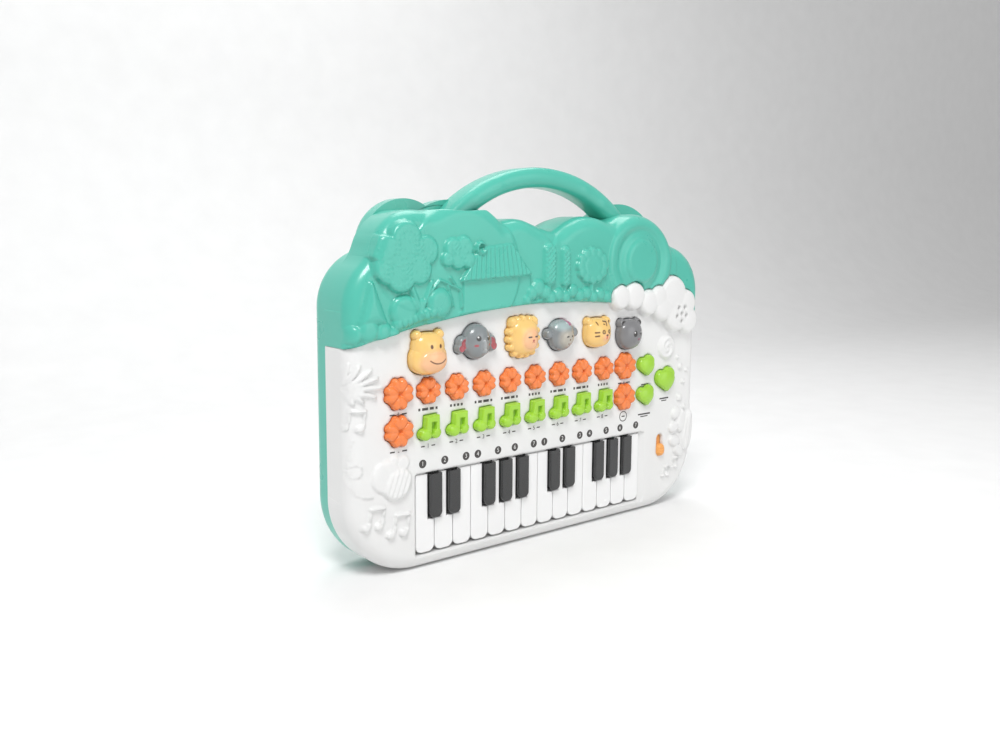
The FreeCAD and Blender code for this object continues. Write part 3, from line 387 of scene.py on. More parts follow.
WHITE = plastic("white_plastic", (0.76, 0.76, 0.755), rough=0.36)
GREEN = plastic("green_plastic", (0.075, 0.47, 0.37), rough=0.28, speck=0.02, coat=0.2)
KEY_WHITE = plastic("key_white", (0.84, 0.84, 0.84), rough=0.24, coat=0.3)
KEY_BLACK = plastic("key_black", (0.012, 0.012, 0.013), rough=0.16, coat=0.6)
ORANGE = plastic("orange_plastic", (0.83, 0.21, 0.045), rough=0.24, speck=0.02, coat=0.3)
LIME = plastic("lime_plastic", (0.33, 0.62, 0.035), rough=0.26, speck=0.02, coat=0.3)
KNOB = plastic("knob_plastic", (0.86, 0.38, 0.10), rough=0.35)
PAINTED = plastic("painted_plastic", (1, 1, 1), rough=0.24, tinted=True, coat=0.4)
INK = plastic("dark_ink", (0.055, 0.05, 0.048), rough=0.5)
PALE_INK = plastic("pale_ink", (0.75, 0.75, 0.74), rough=0.5)
FRAME_GREY = plastic("frame_plastic", (0.52, 0.52, 0.50), rough=0.55)
BOARD = plastic("solder_mask", (0.03, 0.16, 0.06), rough=0.35, speck=0.04)
RUBBER = plastic("grey_rubber", (0.25, 0.26, 0.26), rough=0.75, grain=0.8)
SPEAKER = plastic("speaker_black", (0.03, 0.03, 0.03), rough=0.6, grain=0.8)
CELL = plastic("cell_wrap", (0.05, 0.16, 0.12), rough=0.3, metal=0.4)
METAL = plastic("plated_steel", (0.62, 0.62, 0.64), rough=0.28, metal=1.0)


# ---- White front shell ---------------------------------------------------------------------------

PANEL_HOLES = []


def panel_hole(p):
    return union(hole(p) for hole in PANEL_HOLES)


def key_tray(p):
    return rect(p, (KEY_LEFT + KEY_RIGHT) / 2, (KEY_LOW + KEY_HIGH) / 2, (KEY_RIGHT - KEY_LEFT) / 2,
                (KEY_HIGH - KEY_LOW) / 2, 1.2)


def switch_slot(p):
    x, z = centre("power_knob")
    return rect(p, x, z + 3.5, 2.9, 7.3, 2.6)


def speaker_holes(p):
    x, z = centre("speaker")
    spots = [(x + 3.5, z + 1)]
    for index in range(5):
        angle = math.radians(72 * index - 90)
        spots.append((x + 3.5 + 5.1 * math.cos(angle), z + 1 + 5.1 * math.sin(angle)))
    return union(circle(p, *spot, 1.0) for spot in spots)


def beamed_note(p, x, z, size, degrees=8):
    """Two note heads, their stems and the beam that joins them."""
    q = turn(p, x, z, degrees) / size
    shapes = [ellipse(q, -4.2, -5, 2.6, 2.1, -20), ellipse(q, 3.6, -4.2, 2.6, 2.1, -20),
              stroke(q, (-2.1, -4.6), (-2.1, 4.6), 0.6), stroke(q, (5.7, -3.8), (5.7, 5.4), 0.6),
              stroke(q, (-2.1, 4.9), (5.7, 5.7), 1.0)]
    return union(shapes) * size


def leaf_burst(p, x, z, leaves):
    """Leaves that fan out from a point: length, width and direction of each."""
    return union(ellipse(p, x + (length / 2 + 2) * math.sin(math.radians(way)),
                         z + (length / 2 + 2) * math.cos(math.radians(way)), width / 2, length / 2, way)
                 for length, width, way in leaves)


def bee(p):
    """Striped body on a round wing, with a smaller second wing of two discs above."""
    wing = pillow(circle(p, -118.5, 58.5, 9.6), 1.7, 2.6)
    small = pillow(circles(p, [(-107.5, 65, 4.2), (-113.5, 67, 3.0)]), 1.1, 1.6)
    body = ellipse(p, -111.5, 53.5, 10.0, 8.6, -35)
    across = turn(p, -111.5, 53.5, 20)[..., 0]
    stripes = np.where(body < -0.6, ribs(across, 3.0, 0.3), 0)
    return np.maximum(np.maximum(wing, small), (pillow(body, 2.7, 3.2) + stripes) * (body < 0))


def dotted_trail(p):
    """The bee's flight as a line of beads: down, once round a loop, and across to the bee."""
    beads = []
    for index in range(46):
        t = index / 45
        if t < 0.35:
            spot = (-138.4 - 7 * t, 81 - 43 * t)
        elif t < 0.62:
            around = math.radians(170 + 1240 * (t - 0.35))
            spot = (-137.3 + 3.6 * math.cos(around), 64.3 + 3.6 * math.sin(around))
        else:
            along = (t - 0.62) / 0.38
            around = math.radians(170 + 105 * along)
            spot = (-128.5 + 13.5 * math.cos(around), 62 + 13.5 * math.sin(around))
        beads.append(circle(p, *spot, 0.62))
    return union(beads)


FERNS = [(-143, 110, [(length, 3.0, way) for length, way in
                     ((13, 12), (14, 34), (17, 58), (19, 76), (21, 92), (18, 108), (12, 128), (9, 150))]),
         (-143, 108, [(length, 2.6, way) for length, way in
                      ((10, 46), (12, 68), (14, 84), (13, 101), (10, 118))])]
BUBBLES = [(124, 99, 2.2), (127.5, 88, 1.8), (124, 77, 2.8), (129, 70, 1.8), (121, 106, 1.4), (131, 96, 1.5)]
PETALS = [(120.5, 66, 5.0, 4.2, -30), (118.5, 56, 5.2, 4.2, -10), (119.5, 46, 5.6, 4.2, 15),
          (124, 38.5, 5.6, 4.0, 40), (126, 60, 4.6, 8.5, 8)]


def white_height(p, drop):
    x, z = p[..., 0], p[..., 1]
    rise = np.zeros(x.shape)
    for spot in FERNS:
        rise = np.maximum(rise, pillow(leaf_burst(p, *spot), 1.9, 1.5))
    for spot in ((-138, 92.5, 1.0), (-127, 36.5, 1.05), (-111, 30, 1.1), (111.5, 25, 0.62), (120, 30, 0.62)):
        rise = np.maximum(rise, pillow(beamed_note(p, *spot), 2.0, 0.9))
    rise = np.maximum(rise, pillow(dotted_trail(p), 1.0, 0.7))
    rise = np.maximum(rise, bee(p))
    rose = circle(p, 109, 114, 8.5)
    swirl = np.arctan2(z - 114, x - 109) + np.hypot(x - 109, z - 114) * 0.75
    rise = np.maximum(rise, pillow(rose, 1.9, 2.5) + np.where(rose < -0.8, 0.45 * np.cos(2 * swirl), 0))
    rise = np.maximum(rise, pillow(circles(p, BUBBLES), 1.6, 1.6))
    for spot in PETALS:
        rise = np.maximum(rise, pillow(ellipse(p, *spot), 2.2, 2.6))
    fan = sum(groove(np.abs(turn(p, 133, 52, 10)[..., 0] - offset), 0.7, 0.6) for offset in (-2.6, 1.4))
    shell = ellipse(p, 133, 52, 6.5, 15, 10)
    rise = np.maximum(rise, pillow(shell, 3.0, 3.5) + np.where(shell < -0.5, fan, 0))
    cap = pillow(union(circle(p, cx, SEAM_CROWN + up, radius) for cx, up, radius in CLOUD), 5.0, 3.6)
    puffs = np.zeros(x.shape)
    for cx, up, radius in CLOUD:
        puff = circle(p, cx, SEAM_CROWN + up, radius)
        puffs = np.maximum(puffs, (1 - np.clip(1 + puff / radius, 0, 1) ** 2) * (puff < 0))
    rise = np.maximum(rise, cap + 0.9 * puffs * (cap > 0))
    # The panel slopes down to the keys at the right end of the tray.
    beyond = x - KEY_RIGHT
    slope = np.clip(1 - beyond / 4.8, 0, 1) * ((z > KEY_LOW - 1.5) & (z < KEY_HIGH) & (beyond > 0))
    return rise - 3.0 * slope - drop


def white_outline(p):
    return np.maximum(slab(p), np.minimum(seam(p), cloud(p)))


def white_rim(p):
    return np.where(cloud(p) < -0.5, np.minimum(slab(p), -2.5), slab(p))


# ---- Green top shell -----------------------------------------------------------------------------

FOLIAGE = [(-120, 184, 8.2), (-107, 190, 10), (-94.5, 183.5, 8.5), (-99, 173, 8.5), (-110.5, 170.5, 10),
           (-118, 174, 9), (-107, 180, 10)]
SMALL_FOLIAGE = [(-76, 184, 6.5), (-69, 185, 6.5), (-73, 178, 5.5), (-66, 178, 5), (-80, 178.5, 4.5)]
BUSHES = [(-108, 150.5, 9), (-85.5, 154, 8.5), (-139, 139, 5), (-130, 141, 6.5), (-121, 139.5, 5.5),
          (-115, 138, 4.5)]
SHRUBS = [(-21, 153, 3.6), (-17, 157, 4.5), (-12, 160, 5.2), (-6.5, 157, 4.5), (-2, 153.5, 4.2),
          (4, 155, 4.3), (10, 153.5, 4), (16, 157, 4.3), (22, 154, 4.2), (28, 155, 4.2), (34, 152.5, 4),
          (40, 154, 4.2), (46, 152, 4)]
ROUND_TREE = [(32.5 + 10.2 * math.cos(math.radians(a)), 172.5 + 8.2 * math.sin(math.radians(a)), 3.8)
              for a in range(0, 360, 30)] + [(32.5, 172.5, 8.8)]
RAINBOW_X, RAINBOW_Z = 78.0, 174.5
ROOF = [(-71.5, 165.5), (-17.5, 168), (-33.5, 187), (-58, 184.5)]
TREE_LINES = [((-98, 151), (-103.5, 163), 1.5), ((-96, 153), (-90.5, 166), 1.3),
              ((-97, 148), (-97, 155), 1.8), ((-94, 158), (-85, 167), 0.8),
              ((-85, 167), (-71, 161), 0.8), ((-71, 161), (-70, 151), 0.8),
              ((-80, 164.5), (-76, 152), 0.7), ((-90, 152), (-83, 146), 1.2),
              ((-78, 168), (-74, 163), 0.7)]


def scallops(p, discs, height, edge):
    """Foliage: each puff is a dome of its own, so creases run between them."""
    return np.maximum.reduce([pillow(circle(p, *disc), height, edge) for disc in discs])


def green_height(p, drop):
    x, z = p[..., 0], p[..., 1]
    layer = np.maximum.reduce([pillow(circle(p, hx, SEAM_CROWN + rise, radius), top, 2.5)
                               for hx, rise, radius, top in HILLS])
    layer = np.maximum(layer, 0.0)
    # Far hill at the right: a raised ring, a valley and a dome inside it.
    ring = np.hypot(x - RAINBOW_X, z - RAINBOW_Z)
    layer = np.maximum(layer, pillow(ring - 31, 2.6, 4))
    layer += groove(ring - 20, 1.6, 3.0)
    layer = np.maximum(layer, pillow(ring - 16, 4.2, 4.5))
    ground = layer - drop
    rise = np.zeros(x.shape)
    for a, b, radius in TREE_LINES:
        rise = np.maximum(rise, pillow(stroke(p, a, b, radius), 1.6, radius))
    cone = convex(p, [(-135, 144.5), (-119, 144.5), (-127.6, 166.5), (-128.8, 166.5)])
    rise = np.maximum(rise, pillow(cone - 0.6, 3.4, 5.5))
    log = stroke(p, (-112, 143.5), (-90, 149.5), 3.6)
    rings = sum(groove(np.abs(turn(p, -101, 146.5, -15)[..., 0] - offset), 0.9, 0.5)
                for offset in (-9, -5.5, -2, 1.5, 5, 8.5))
    rise = np.maximum(rise, scallops(p, BUSHES, 3.0, 4.5))
    rise = np.maximum(rise, pillow(log, 3.2, 3.2) + np.where(log < 0, rings, 0))
    wall = convex(p, [(-69, 147), (-18, 149.5), (-18, 168), (-69, 166)])
    rise = np.maximum(rise, pillow(wall, 0.9, 0.6))
    roof = convex(p, ROOF)
    fan = (x + 45) / (1 + (188 - z) * 0.011)
    eaves = 1.4 + 0.085 * (188 - z)
    rise = np.maximum(rise, (pillow(roof, 1.0, 0.8) * eaves + np.where(roof < -0.8, ribs(fan, 2.9, 0.36), 0)))
    knot = np.abs(circle(p, -57, 184.5, 3.0)) - 0.9
    rise = np.maximum(rise, pillow(knot, 3.4, 0.9))
    for cx, low, high, half in ((-3.2, 161, 187, 4.8), (9.5, 160, 185, 3.9)):
        poplar = rect(p, cx, (low + high) / 2, half, (high - low) / 2, half * 0.9)
        quilt = 0.45 * np.cos(2 * math.pi * z / 3.2) * np.cos(2 * math.pi * (x - cx) / 3.2)
        rise = np.maximum(rise, pillow(poplar, 2.8, half * 0.6) + np.where(poplar < -0.6, quilt, 0))
        rise = np.maximum(rise, pillow(stroke(p, (cx, low - 6), (cx, low), 1.1), 1.6, 1.1))
    tree = pillow(circles(p, ROUND_TREE), 1.9, 1.0) + scallops(p, ROUND_TREE, 0.8, 3.5)
    rise = np.maximum(rise, tree)
    rise = np.maximum(rise, pillow(stroke(p, (32.5, 155), (32.5, 163), 1.5), 1.8, 1.2))
    rise = np.maximum(rise, scallops(p, SHRUBS, 2.6, 3.0))
    # Beads of grass along the seam.
    beads = np.clip(1.0 - np.abs(seam(p) - 1.6), 0, 1)
    rise = np.maximum(rise, beads * (0.9 + 0.7 * np.cos(2 * math.pi * x / 2.8)) * ((x > -72) & (x < 48)))
    # Leaves of the two near trees stand in front of the hills.
    stipple = 0.35 * np.clip(2.2 * np.cos(1.3 * x + 1.7 * np.sin(z)) * np.cos(1.2 * z + 1.9 * np.sin(0.8 * x))
                             - 1.2, 0, 1)
    near = circles(p, FOLIAGE)
    leaves = pillow(near, 3.6, 1.8) + 0.12 * scallops(p, FOLIAGE, 3, 6) + np.where(near < -1.6, stipple, 0)
    surface = np.where(near < 0, np.maximum(ground, leaves - 0.45 * drop), ground + rise)
    far = circles(p, SMALL_FOLIAGE)
    small = pillow(far, 2.3, 1.5) + 0.3 * scallops(p, SMALL_FOLIAGE, 2, 4) + np.where(far < -1.4, stipple, 0)
    return np.where((far < 0) & (near > 0), np.maximum(surface, ground + small), surface)


def green_rim(p):
    return smooth_union([slab(p), hills(p)], JOIN_WIDTH)


def green_outline(p):
    return np.maximum(green_rim(p), -np.minimum(seam(p), cloud(p)))


def handle_front():
    """Front half of the carrying handle: a rounded section swept along its arch."""
    front_y, bulge, section = -10.0, 5.0, HANDLE_HALF
    half_sweep, turns = 60.0, 120
    profile = [(-section, PARTING_Y), (-section, front_y + bulge)]
    for step in range(1, 8):
        angle = math.pi * step / 8
        profile.append((-math.cos(angle) * section, front_y + bulge - bulge * math.sin(angle) ** 0.8))
    profile += [(section, front_y + bulge), (section, PARTING_Y)]
    points, faces = [], []
    for step in range(turns + 1):
        angle = math.radians(-half_sweep + 2 * half_sweep * step / turns)
        ridged = abs(abs(math.degrees(angle)) - 25) < 9
        ridge = 0.35 * max(0.0, math.cos(angle * 34)) if ridged else 0.0
        for out, y in profile:
            radius = HANDLE_RADIUS + out
            swell = ridge if abs(out) < section * 0.9 else 0.0
            points.append((HANDLE_X + radius * math.sin(angle), y - swell,
                           HANDLE_Z + radius * math.cos(angle)))
    width = len(profile)
    for step in range(turns):
        for side in range(width - 1):
            a = step * width + side
            faces.append((a, a + width, a + width + 1, a + 1))
    return make_object("handle_front", points, faces, GREEN)


def back_deck():
    """Sheet that closes the back layer where it stands above the front hills."""
    def outline(p):
        behind = union(circle(p, x, SEAM_CROWN + rise, radius - 1.0) for x, rise, radius in BACK_HILLS)
        return np.maximum(behind, SEAM_CROWN + 20 - p[..., 1])
    return relief("back_deck", (-HALF_WIDTH, HALF_WIDTH, SEAM_CROWN + 18, SEAM_CROWN + 64), 1.2, outline,
                  flat_height, PARTING_Y + 0.3, GREEN, cut_y=PARTING_Y + 1.0)


# ---- Buttons -------------------------------------------------------------------------------------

def flower_lobes(p, x, z, size):
    """The eight lobes of a flower, in four heart-shaped pairs."""
    lobes = []
    for quarter in (0, 90, 180, 270):
        for side in (-1, 1):
            way = math.radians(quarter + side * 20.5)
            lobes.append(ellipse(p, x + 0.56 * size * math.sin(way), z + 0.56 * size * math.cos(way),
                                 0.325 * size, 0.44 * size, quarter + side * 12))
    return lobes


def flower_shape(x, z, size):
    def outline(p):
        return np.minimum(union(flower_lobes(p, x, z, size)), circle(p, x, z, 0.86 * size))

    def height(p, drop):
        dx, dz = p[..., 0] - x, p[..., 1] - z
        lobes = np.maximum.reduce([pillow(lobe, 1.6, 0.30 * size) for lobe in flower_lobes(p, x, z, size)])
        skirt = pillow(outline(p), 1.5, 0.16 * size)
        creases = groove(dx + dz, 0.55, 0.08 * size) + groove(dx - dz, 0.55, 0.08 * size)
        middle = groove(np.hypot(dx, dz), 0.4, 0.12 * size)
        return 0.9 + skirt + 0.8 * lobes + np.where(outline(p) < -0.4, creases, 0) + middle
    return outline, height


def note_shape(x, z):
    def outline(p):
        block = convex(turn(p, x, z, 0), [(-3.2, -4.2), (5.4, -3.6), (5.4, 6.4), (-2.4, 6.0)]) - 0.5
        return union([block, ellipse(p, x - 3.4, z - 3.9, 3.9, 3.3), ellipse(p, x + 3.4, z - 3.4, 3.3, 3.2)])

    def height(p, drop):
        rise = 3.0 + pillow(outline(p), 1.2, 0.9)
        heads = union([ellipse(p, x - 3.4, z - 3.9, 3.6, 3.0), ellipse(p, x + 3.4, z - 3.4, 3.0, 2.9)])
        rise = np.maximum(rise, 3.4 + pillow(heads, 1.4, 2.2))
        recess = rect(p, x + 1.7, z - 0.3, 1.8, 3.5, 0.4)
        return rise - 2.9 * np.clip(-recess / 0.5, 0, 1) * (heads > -0.8)
    return outline, height


def heart_shape(x, z, side, tilt=14.0):
    def outline(p):
        q = turn(p, x, z, -tilt)
        lobe = side / 2
        reach = lobe / math.sqrt(2)
        square = rect(q, 0, 0, lobe, lobe, 0.6, 45)
        return union([square, circle(q, -reach, reach, lobe), circle(q, reach, reach, lobe)])

    def height(p, drop):
        dome = ellipse(p, x - 0.02 * side, z + 0.12 * side, 0.80 * side, 0.72 * side)
        return np.maximum(1.2 + pillow(outline(p), 2.2, 0.2 * side), 1.6 + pillow(dome, 3.0, 0.7 * side))
    return outline, height


def button(name, node, shape, material, span):
    x, z = centre(node)
    outline, height = shape
    PANEL_HOLES.append(lambda p: outline(p) - BUTTON_GAP)
    return relief(name, (x - span, x + span, z - span, z + span), BUTTON_STEP, outline, height, PANEL_Y,
                  material, body=BODY_OF[node], cut_y=BUTTON_FOOT)


# A button's hole is wider than the button by the gap all round, and its sides run back to the foot.
BUTTON_GAP = 0.1
BUTTON_FOOT = PANEL_Y + WALL + 1.0
BUTTON_STEP = 0.32
BODY_OF = {node: body for body, nodes in frame["record"]["behaviour"]["bodies"].items() for node in nodes}


def rhythm_columns():
    """Where the eight flowers of the rhythm bank stand in x."""
    low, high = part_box("rhythm_button_bank")
    left, right = low.x / MM + 7.8, high.x / MM - 7.8
    return [left + (right - left) * index / 7 for index in range(8)]


def build_flowers():
    for name in ("tempo_up", "tempo_down", "volume_up", "volume_down"):
        node = name + "_button"
        piece = button(name + "_flower", node, flower_shape(*centre(node), 9.2), ORANGE, 10)
        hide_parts(node)
    for index, x in enumerate(rhythm_columns()):
        outline, height = flower_shape(x, FLOWER_ROW, 7.75)
        PANEL_HOLES.append(lambda p, outline=outline: outline(p) - BUTTON_GAP)
        span = (x - 8.6, x + 8.6, FLOWER_ROW - 8.6, FLOWER_ROW + 8.6)
        relief(f"rhythm_flower_{index + 1}", span, BUTTON_STEP, outline, height, PANEL_Y,
                             ORANGE, body="rhythm_button_bank", cut_y=BUTTON_FOOT)
    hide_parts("rhythm_button_bank")


def build_notes_and_hearts():
    for index in range(1, 9):
        node = f"note_button_{index}"
        x, z = centre(node)
        piece = button(f"note_{index}", node, note_shape(x, NOTE_ROW), LIME, 10)
        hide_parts(node)
    for name, side in (("upper", 9.0), ("lower", 9.0), ("stop", 10.8)):
        node = f"heart_button_{name}"
        x, z = centre(node)
        piece = button(f"heart_{name}", node, heart_shape(x, z, side), LIME, 12)
        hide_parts(node)


# Face features are painted on the domes: shape function, then colour. The lighter grey over the elephant's
# trunk is painted highlight.
YELLOW = (0.88, 0.56, 0.185)
PEACH = (0.90, 0.50, 0.27)
GREY = (0.225, 0.245, 0.255)
PANDA_GREY = (0.20, 0.20, 0.207)
PINK = (0.40, 0.085, 0.10)
CREAM = (0.45, 0.42, 0.36)
ROSE = (0.42, 0.12, 0.22)
HAIR = (0.36, 0.45, 0.45)
BROWN = (0.12, 0.05, 0.02)


def arc_line(x, z, radius, start, end, half):
    """Curved line as a ring cut to a range of angles."""
    def shape(p):
        angle = np.degrees(np.arctan2(p[..., 1] - z, p[..., 0] - x)) % 360
        ring = np.abs(circle(p, x, z, radius)) - half
        return np.where((angle > start) & (angle < end), ring, 9.0)
    return shape


def animal(name, head, ears, base, ear_colour, inner_ear, paints, bumps=(), soft=()):
    """Domed head with ears. Places are measured from the middle of the head.

    paints are shapes with a crisp edge, soft ones fade out over 3 mm. Both are given with a colour.
    """
    node = f"{name}_button"
    x, z = ANIMAL_PLACES[name]

    def outline(p):
        q = p - (x, z)
        return union([head(q), circles(q, ears)])

    def height(p, drop):
        q = p - (x, z)
        face = head(q)
        rise = 2.0 + pillow(face, 6.6, 10.5)
        rise = np.maximum(rise, 1.5 + pillow(circles(q, ears), 3.2, 2.6))
        if inner_ear:
            cups = circles(q, [(ex, ez, radius * 0.6) for ex, ez, radius in ears])
            rise -= 0.8 * np.clip(-cups, 0, 1) * (face > 0)
        for bx, bz, wide, high, up in bumps:
            rise += pillow(ellipse(q, bx, bz, wide, high), up, min(wide, high) * 0.9)
        return rise

    def tint(p):
        q = p - (x, z)
        face = head(q)
        colour = np.tile(np.array(base, float), (len(p), 1))
        colour[(face > 0.2) & (circles(q, ears) < 0.5)] = ear_colour
        if inner_ear:
            cups = circles(q, [(ex, ez, radius * 0.62) for ex, ez, radius in ears])
            colour[(cups < 0) & (face > 0)] = inner_ear
        for shapes, fade in ((soft, 3.0), (paints, 0.35)):
            for shape, paint in shapes:
                share = np.clip(0.5 - shape(q) / fade, 0, 1)[..., None]
                colour = colour * (1 - share) + np.array(paint) * share
        return colour

    low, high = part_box(node)
    PANEL_HOLES.append(lambda p: outline(p) - BUTTON_GAP)
    span = (low.x / MM - 1, high.x / MM + 1, low.z / MM - 1, high.z / MM + 1)
    piece = relief(f"{name}_face", span, 0.27, outline, height, PANEL_Y, PAINTED, body=node,
                   cut_y=BUTTON_FOOT, tint=tint)
    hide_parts(node)


ANIMAL_ROW = FLOWER_ROW + 25.5
ANIMAL_PLACES = {"hippo": (-91.6, ANIMAL_ROW - 4), "elephant": (-58, ANIMAL_ROW),
                 "bear": (-22.4, ANIMAL_ROW + 0.5), "sheep": (8.3, ANIMAL_ROW - 0.5),
                 "tiger": (40, ANIMAL_ROW - 1), "panda": (69.7, ANIMAL_ROW - 4)}


def build_animals():
    def spot(x, z, a, b, turned=0):
        return lambda p: ellipse(p, x, z, a, b, turned)

    def line(a, b, half=0.35):
        return lambda p: stroke(p, a, b, half)

    def hippo_head(q):
        return union([squircle(q, 0, -3.0, 12.0, 9.2, 2.4), squircle(q, 0, 2.5, 10.4, 9.4, 2.6)])
    animal("hippo", hippo_head, [(-7.4, 10.4, 2.9), (7.4, 10.4, 2.9)], YELLOW, YELLOW, None,
           [(spot(-1.6, 4.2, 0.9, 1.25), BROWN), (spot(4.6, 4.2, 0.9, 1.25), BROWN),
            (arc_line(2.2, 3.2, 8.6, 228, 312, 0.36), BROWN)],
           bumps=[(1.6, -4.6, 9.6, 6.6, 1.2)], soft=[(spot(1.6, -4.4, 10.0, 6.6), PEACH)])
    animal("elephant", lambda q: ellipse(q, 0, 0.2, 9.4, 10.4),
           [(-9.4, -0.4, 4.6), (-11.6, -3.0, 3.2), (9.4, -0.4, 4.6), (11.6, -3.0, 3.2)], GREY, GREY, PINK,
           [(spot(-2.4, 2.6, 1.5, 1.6), DARK), (spot(5.2, 2.6, 1.4, 1.6), DARK),
            (lambda p: circle(p, -2.8, 3.3, 0.5), (0.9, 0.9, 0.9)),
            (lambda p: circle(p, 4.8, 3.3, 0.5), (0.9, 0.9, 0.9)),
            (spot(-3.8, -1.6, 1.4, 0.7), PINK), (spot(6.6, -1.6, 1.2, 0.7), PINK)],
           bumps=[(1.6, -1.6, 1.9, 3.6, 1.2), (3.0, -5.6, 3.0, 2.2, 1.3)],
           # Painted highlight: a lighter grey fading over the trunk.
           soft=[(spot(1.6, -2.2, 1.6, 4.0), (0.36, 0.38, 0.39))])
    fleece = [(10.6 * math.sin(math.radians(a)) * (1 + 0.1 * math.sin(math.radians(2 * a)) ** 2),
               10.8 * math.cos(math.radians(a)) * (1 + 0.1 * math.sin(math.radians(2 * a)) ** 2), 2.3)
              for a in range(0, 360, 24)]
    animal("bear", lambda q: squircle(q, 0, 0, 10.8, 11.2, 2.8), fleece + [(-8, 9.4, 2.9), (8, 9.4, 2.9)],
           YELLOW, YELLOW, None,
           [(line((-1.3, 0.3), (0.7, 0.4), 0.5), DARK), (line((4.3, 0.4), (6.3, 0.3), 0.5), DARK),
            (spot(2.5, -1.8, 0.9, 0.6), (0.42, 0.10, 0.07)),
            (arc_line(2.5, -3.6, 1.0, 20, 160, 0.24), (0.5, 0.12, 0.08))],
           bumps=[(2, -1.4, 6.4, 6.0, 0.8)], soft=[(spot(2, -1.2, 7.0, 6.8), PEACH)])
    animal("sheep", lambda q: squircle(q, 0, 0, 9.6, 9.8, 2.2), [(-10.4, 1.2, 3.3), (10.4, 1.2, 3.3)],
           GREY, GREY, None,
           [(line((-0.6, -0.6), (0.4, -0.4), 0.5), DARK), (line((3.8, -0.4), (4.8, -0.6), 0.5), DARK),
            (spot(2.1, -2.6, 0.7, 0.5), BROWN), (arc_line(2.1, -4.0, 1.4, 215, 325, 0.22), BROWN),
            (spot(2.6, 8.6, 2.6, 1.2, 70), ROSE), (spot(5.6, 7.6, 2.0, 1.1, 110), ROSE)],
           bumps=[(1.4, -2.2, 6.6, 5.2, 0.7), (4, 8, 3.4, 1.8, 1.0)],
           soft=[(spot(-1.5, 6.2, 6.0, 2.8), HAIR), (lambda q: squircle(q, 1.6, -1.8, 6.6, 4.8, 3), CREAM)])
    marks = [(line(a, b, half), BROWN) for a, b, half in
             (((-4.6, 7.2), (-4.0, 5.6), 0.45), ((1.2, 7.6), (3.8, 7.2), 0.5), ((3.8, 7.2), (3.4, 4.8), 0.5),
              ((0.8, 5.8), (1.8, 5.6), 0.4), ((7.6, 7.6), (7.2, 6.0), 0.5), ((-6.4, 0.6), (-3.6, 0.7), 0.5),
              ((-6.2, -1.8), (-3.6, -1.6), 0.5), ((9.4, 0.8), (10.6, 0.8), 0.45),
              ((9.4, -1.4), (10.6, -1.4), 0.45))]
    rings = [(lambda p, ex=ex: circle(p, ex, 0.8, 1.45), BROWN) for ex in (0.0, 5.6)]
    pupils = [(lambda p, ex=ex: circle(p, ex, 0.8, 0.75), (0.55, 0.36, 0.12)) for ex in (0.0, 5.6)]
    animal("tiger", lambda q: squircle(q, 0, 0, 10.8, 9.6, 2.6), [(-7.8, 7.2, 3.0), (7.8, 7.2, 3.0)],
           YELLOW, YELLOW, None,
           marks + rings + pupils + [(spot(3.0, -2.6, 0.9, 1.7), (0.66, 0.17, 0.06)),
                                     (spot(3.0, -1.4, 1.2, 0.6), BROWN)],
           bumps=[(3.0, -2.4, 4.2, 3.0, 0.5)], soft=[(spot(3.0, -2.8, 3.4, 2.4), PEACH)])
    animal("panda", lambda q: squircle(q, 0, 0, 10.6, 10.2, 2.2), [(-7.2, 7.4, 3.2), (7.2, 7.4, 3.2)],
           PANDA_GREY, PANDA_GREY, DARK,
           [(spot(-0.4, 0.6, 1.7, 2.1, 10), DARK), (spot(6.2, 0.6, 1.6, 2.0, -10), DARK),
            (lambda p: circle(p, -0.8, 1.5, 0.55), (0.8, 0.8, 0.8)),
            (lambda p: circle(p, 5.8, 1.5, 0.5), (0.8, 0.8, 0.8)),
            (spot(2.9, -3.0, 1.4, 0.8), (0.30, 0.12, 0.16)), (spot(2.9, -3.2, 0.6, 0.35), DARK)],
           bumps=[(2.9, -2.8, 4.0, 2.8, 0.5)])


# ---- Printing on the panel -----------------------------------------------------------------------

def text_shape(words, size):
    """Points and faces of a line of figures, centred, lying in x and z."""
    curve = bpy.data.curves.new("figures", "FONT")
    curve.body = words
    curve.size = size
    curve.align_x = curve.align_y = "CENTER"
    holder = bpy.data.objects.new("figures", curve)
    bpy.context.scene.collection.objects.link(holder)
    bpy.context.view_layer.update()
    mesh = bpy.data.meshes.new_from_object(holder.evaluated_get(bpy.context.evaluated_depsgraph_get()))
    points = [(v.co.x, v.co.y) for v in mesh.vertices]
    faces = [tuple(face.vertices) for face in mesh.polygons]
    bpy.data.objects.remove(holder)
    bpy.data.curves.remove(curve)
    bpy.data.meshes.remove(mesh)
    return points, faces


class Print:
    """Collects flat marks at one height over the panel and turns them into one piece."""

    def __init__(self, lift):
        self.y = PANEL_Y - lift
        self.points, self.faces = [], []

    def add(self, flat, faces, x=0.0, z=0.0):
        start = len(self.points)
        self.points += [(x + px, self.y, z + pz) for px, pz in flat]
        self.faces += [tuple(start + i for i in face) for face in faces]

    def disc(self, x, z, radius, sides=28):
        ring = [(radius * math.cos(2 * math.pi * i / sides), radius * math.sin(2 * math.pi * i / sides))
                for i in range(sides)]
        self.add(ring, [tuple(range(sides))], x, z)

    def ring(self, x, z, radius, width, sides=32):
        flat, faces = [], []
        for i in range(sides):
            a = 2 * math.pi * i / sides
            flat += [(radius * math.cos(a), radius * math.sin(a)),
                     ((radius - width) * math.cos(a), (radius - width) * math.sin(a))]
            j = (i + 1) % sides
            faces.append((2 * i, 2 * j, 2 * j + 1, 2 * i + 1))
        self.add(flat, faces, x, z)

    def bar(self, x, z, wide, high):
        self.add([(-wide / 2, -high / 2), (wide / 2, -high / 2), (wide / 2, high / 2), (-wide / 2, high / 2)],
                 [(0, 1, 2, 3)], x, z)

    def figures(self, words, x, z, size):
        self.add(*text_shape(words, size), x, z)

    def finish(self, name, material):
        return make_object(name, self.points, self.faces, material, smooth=False)


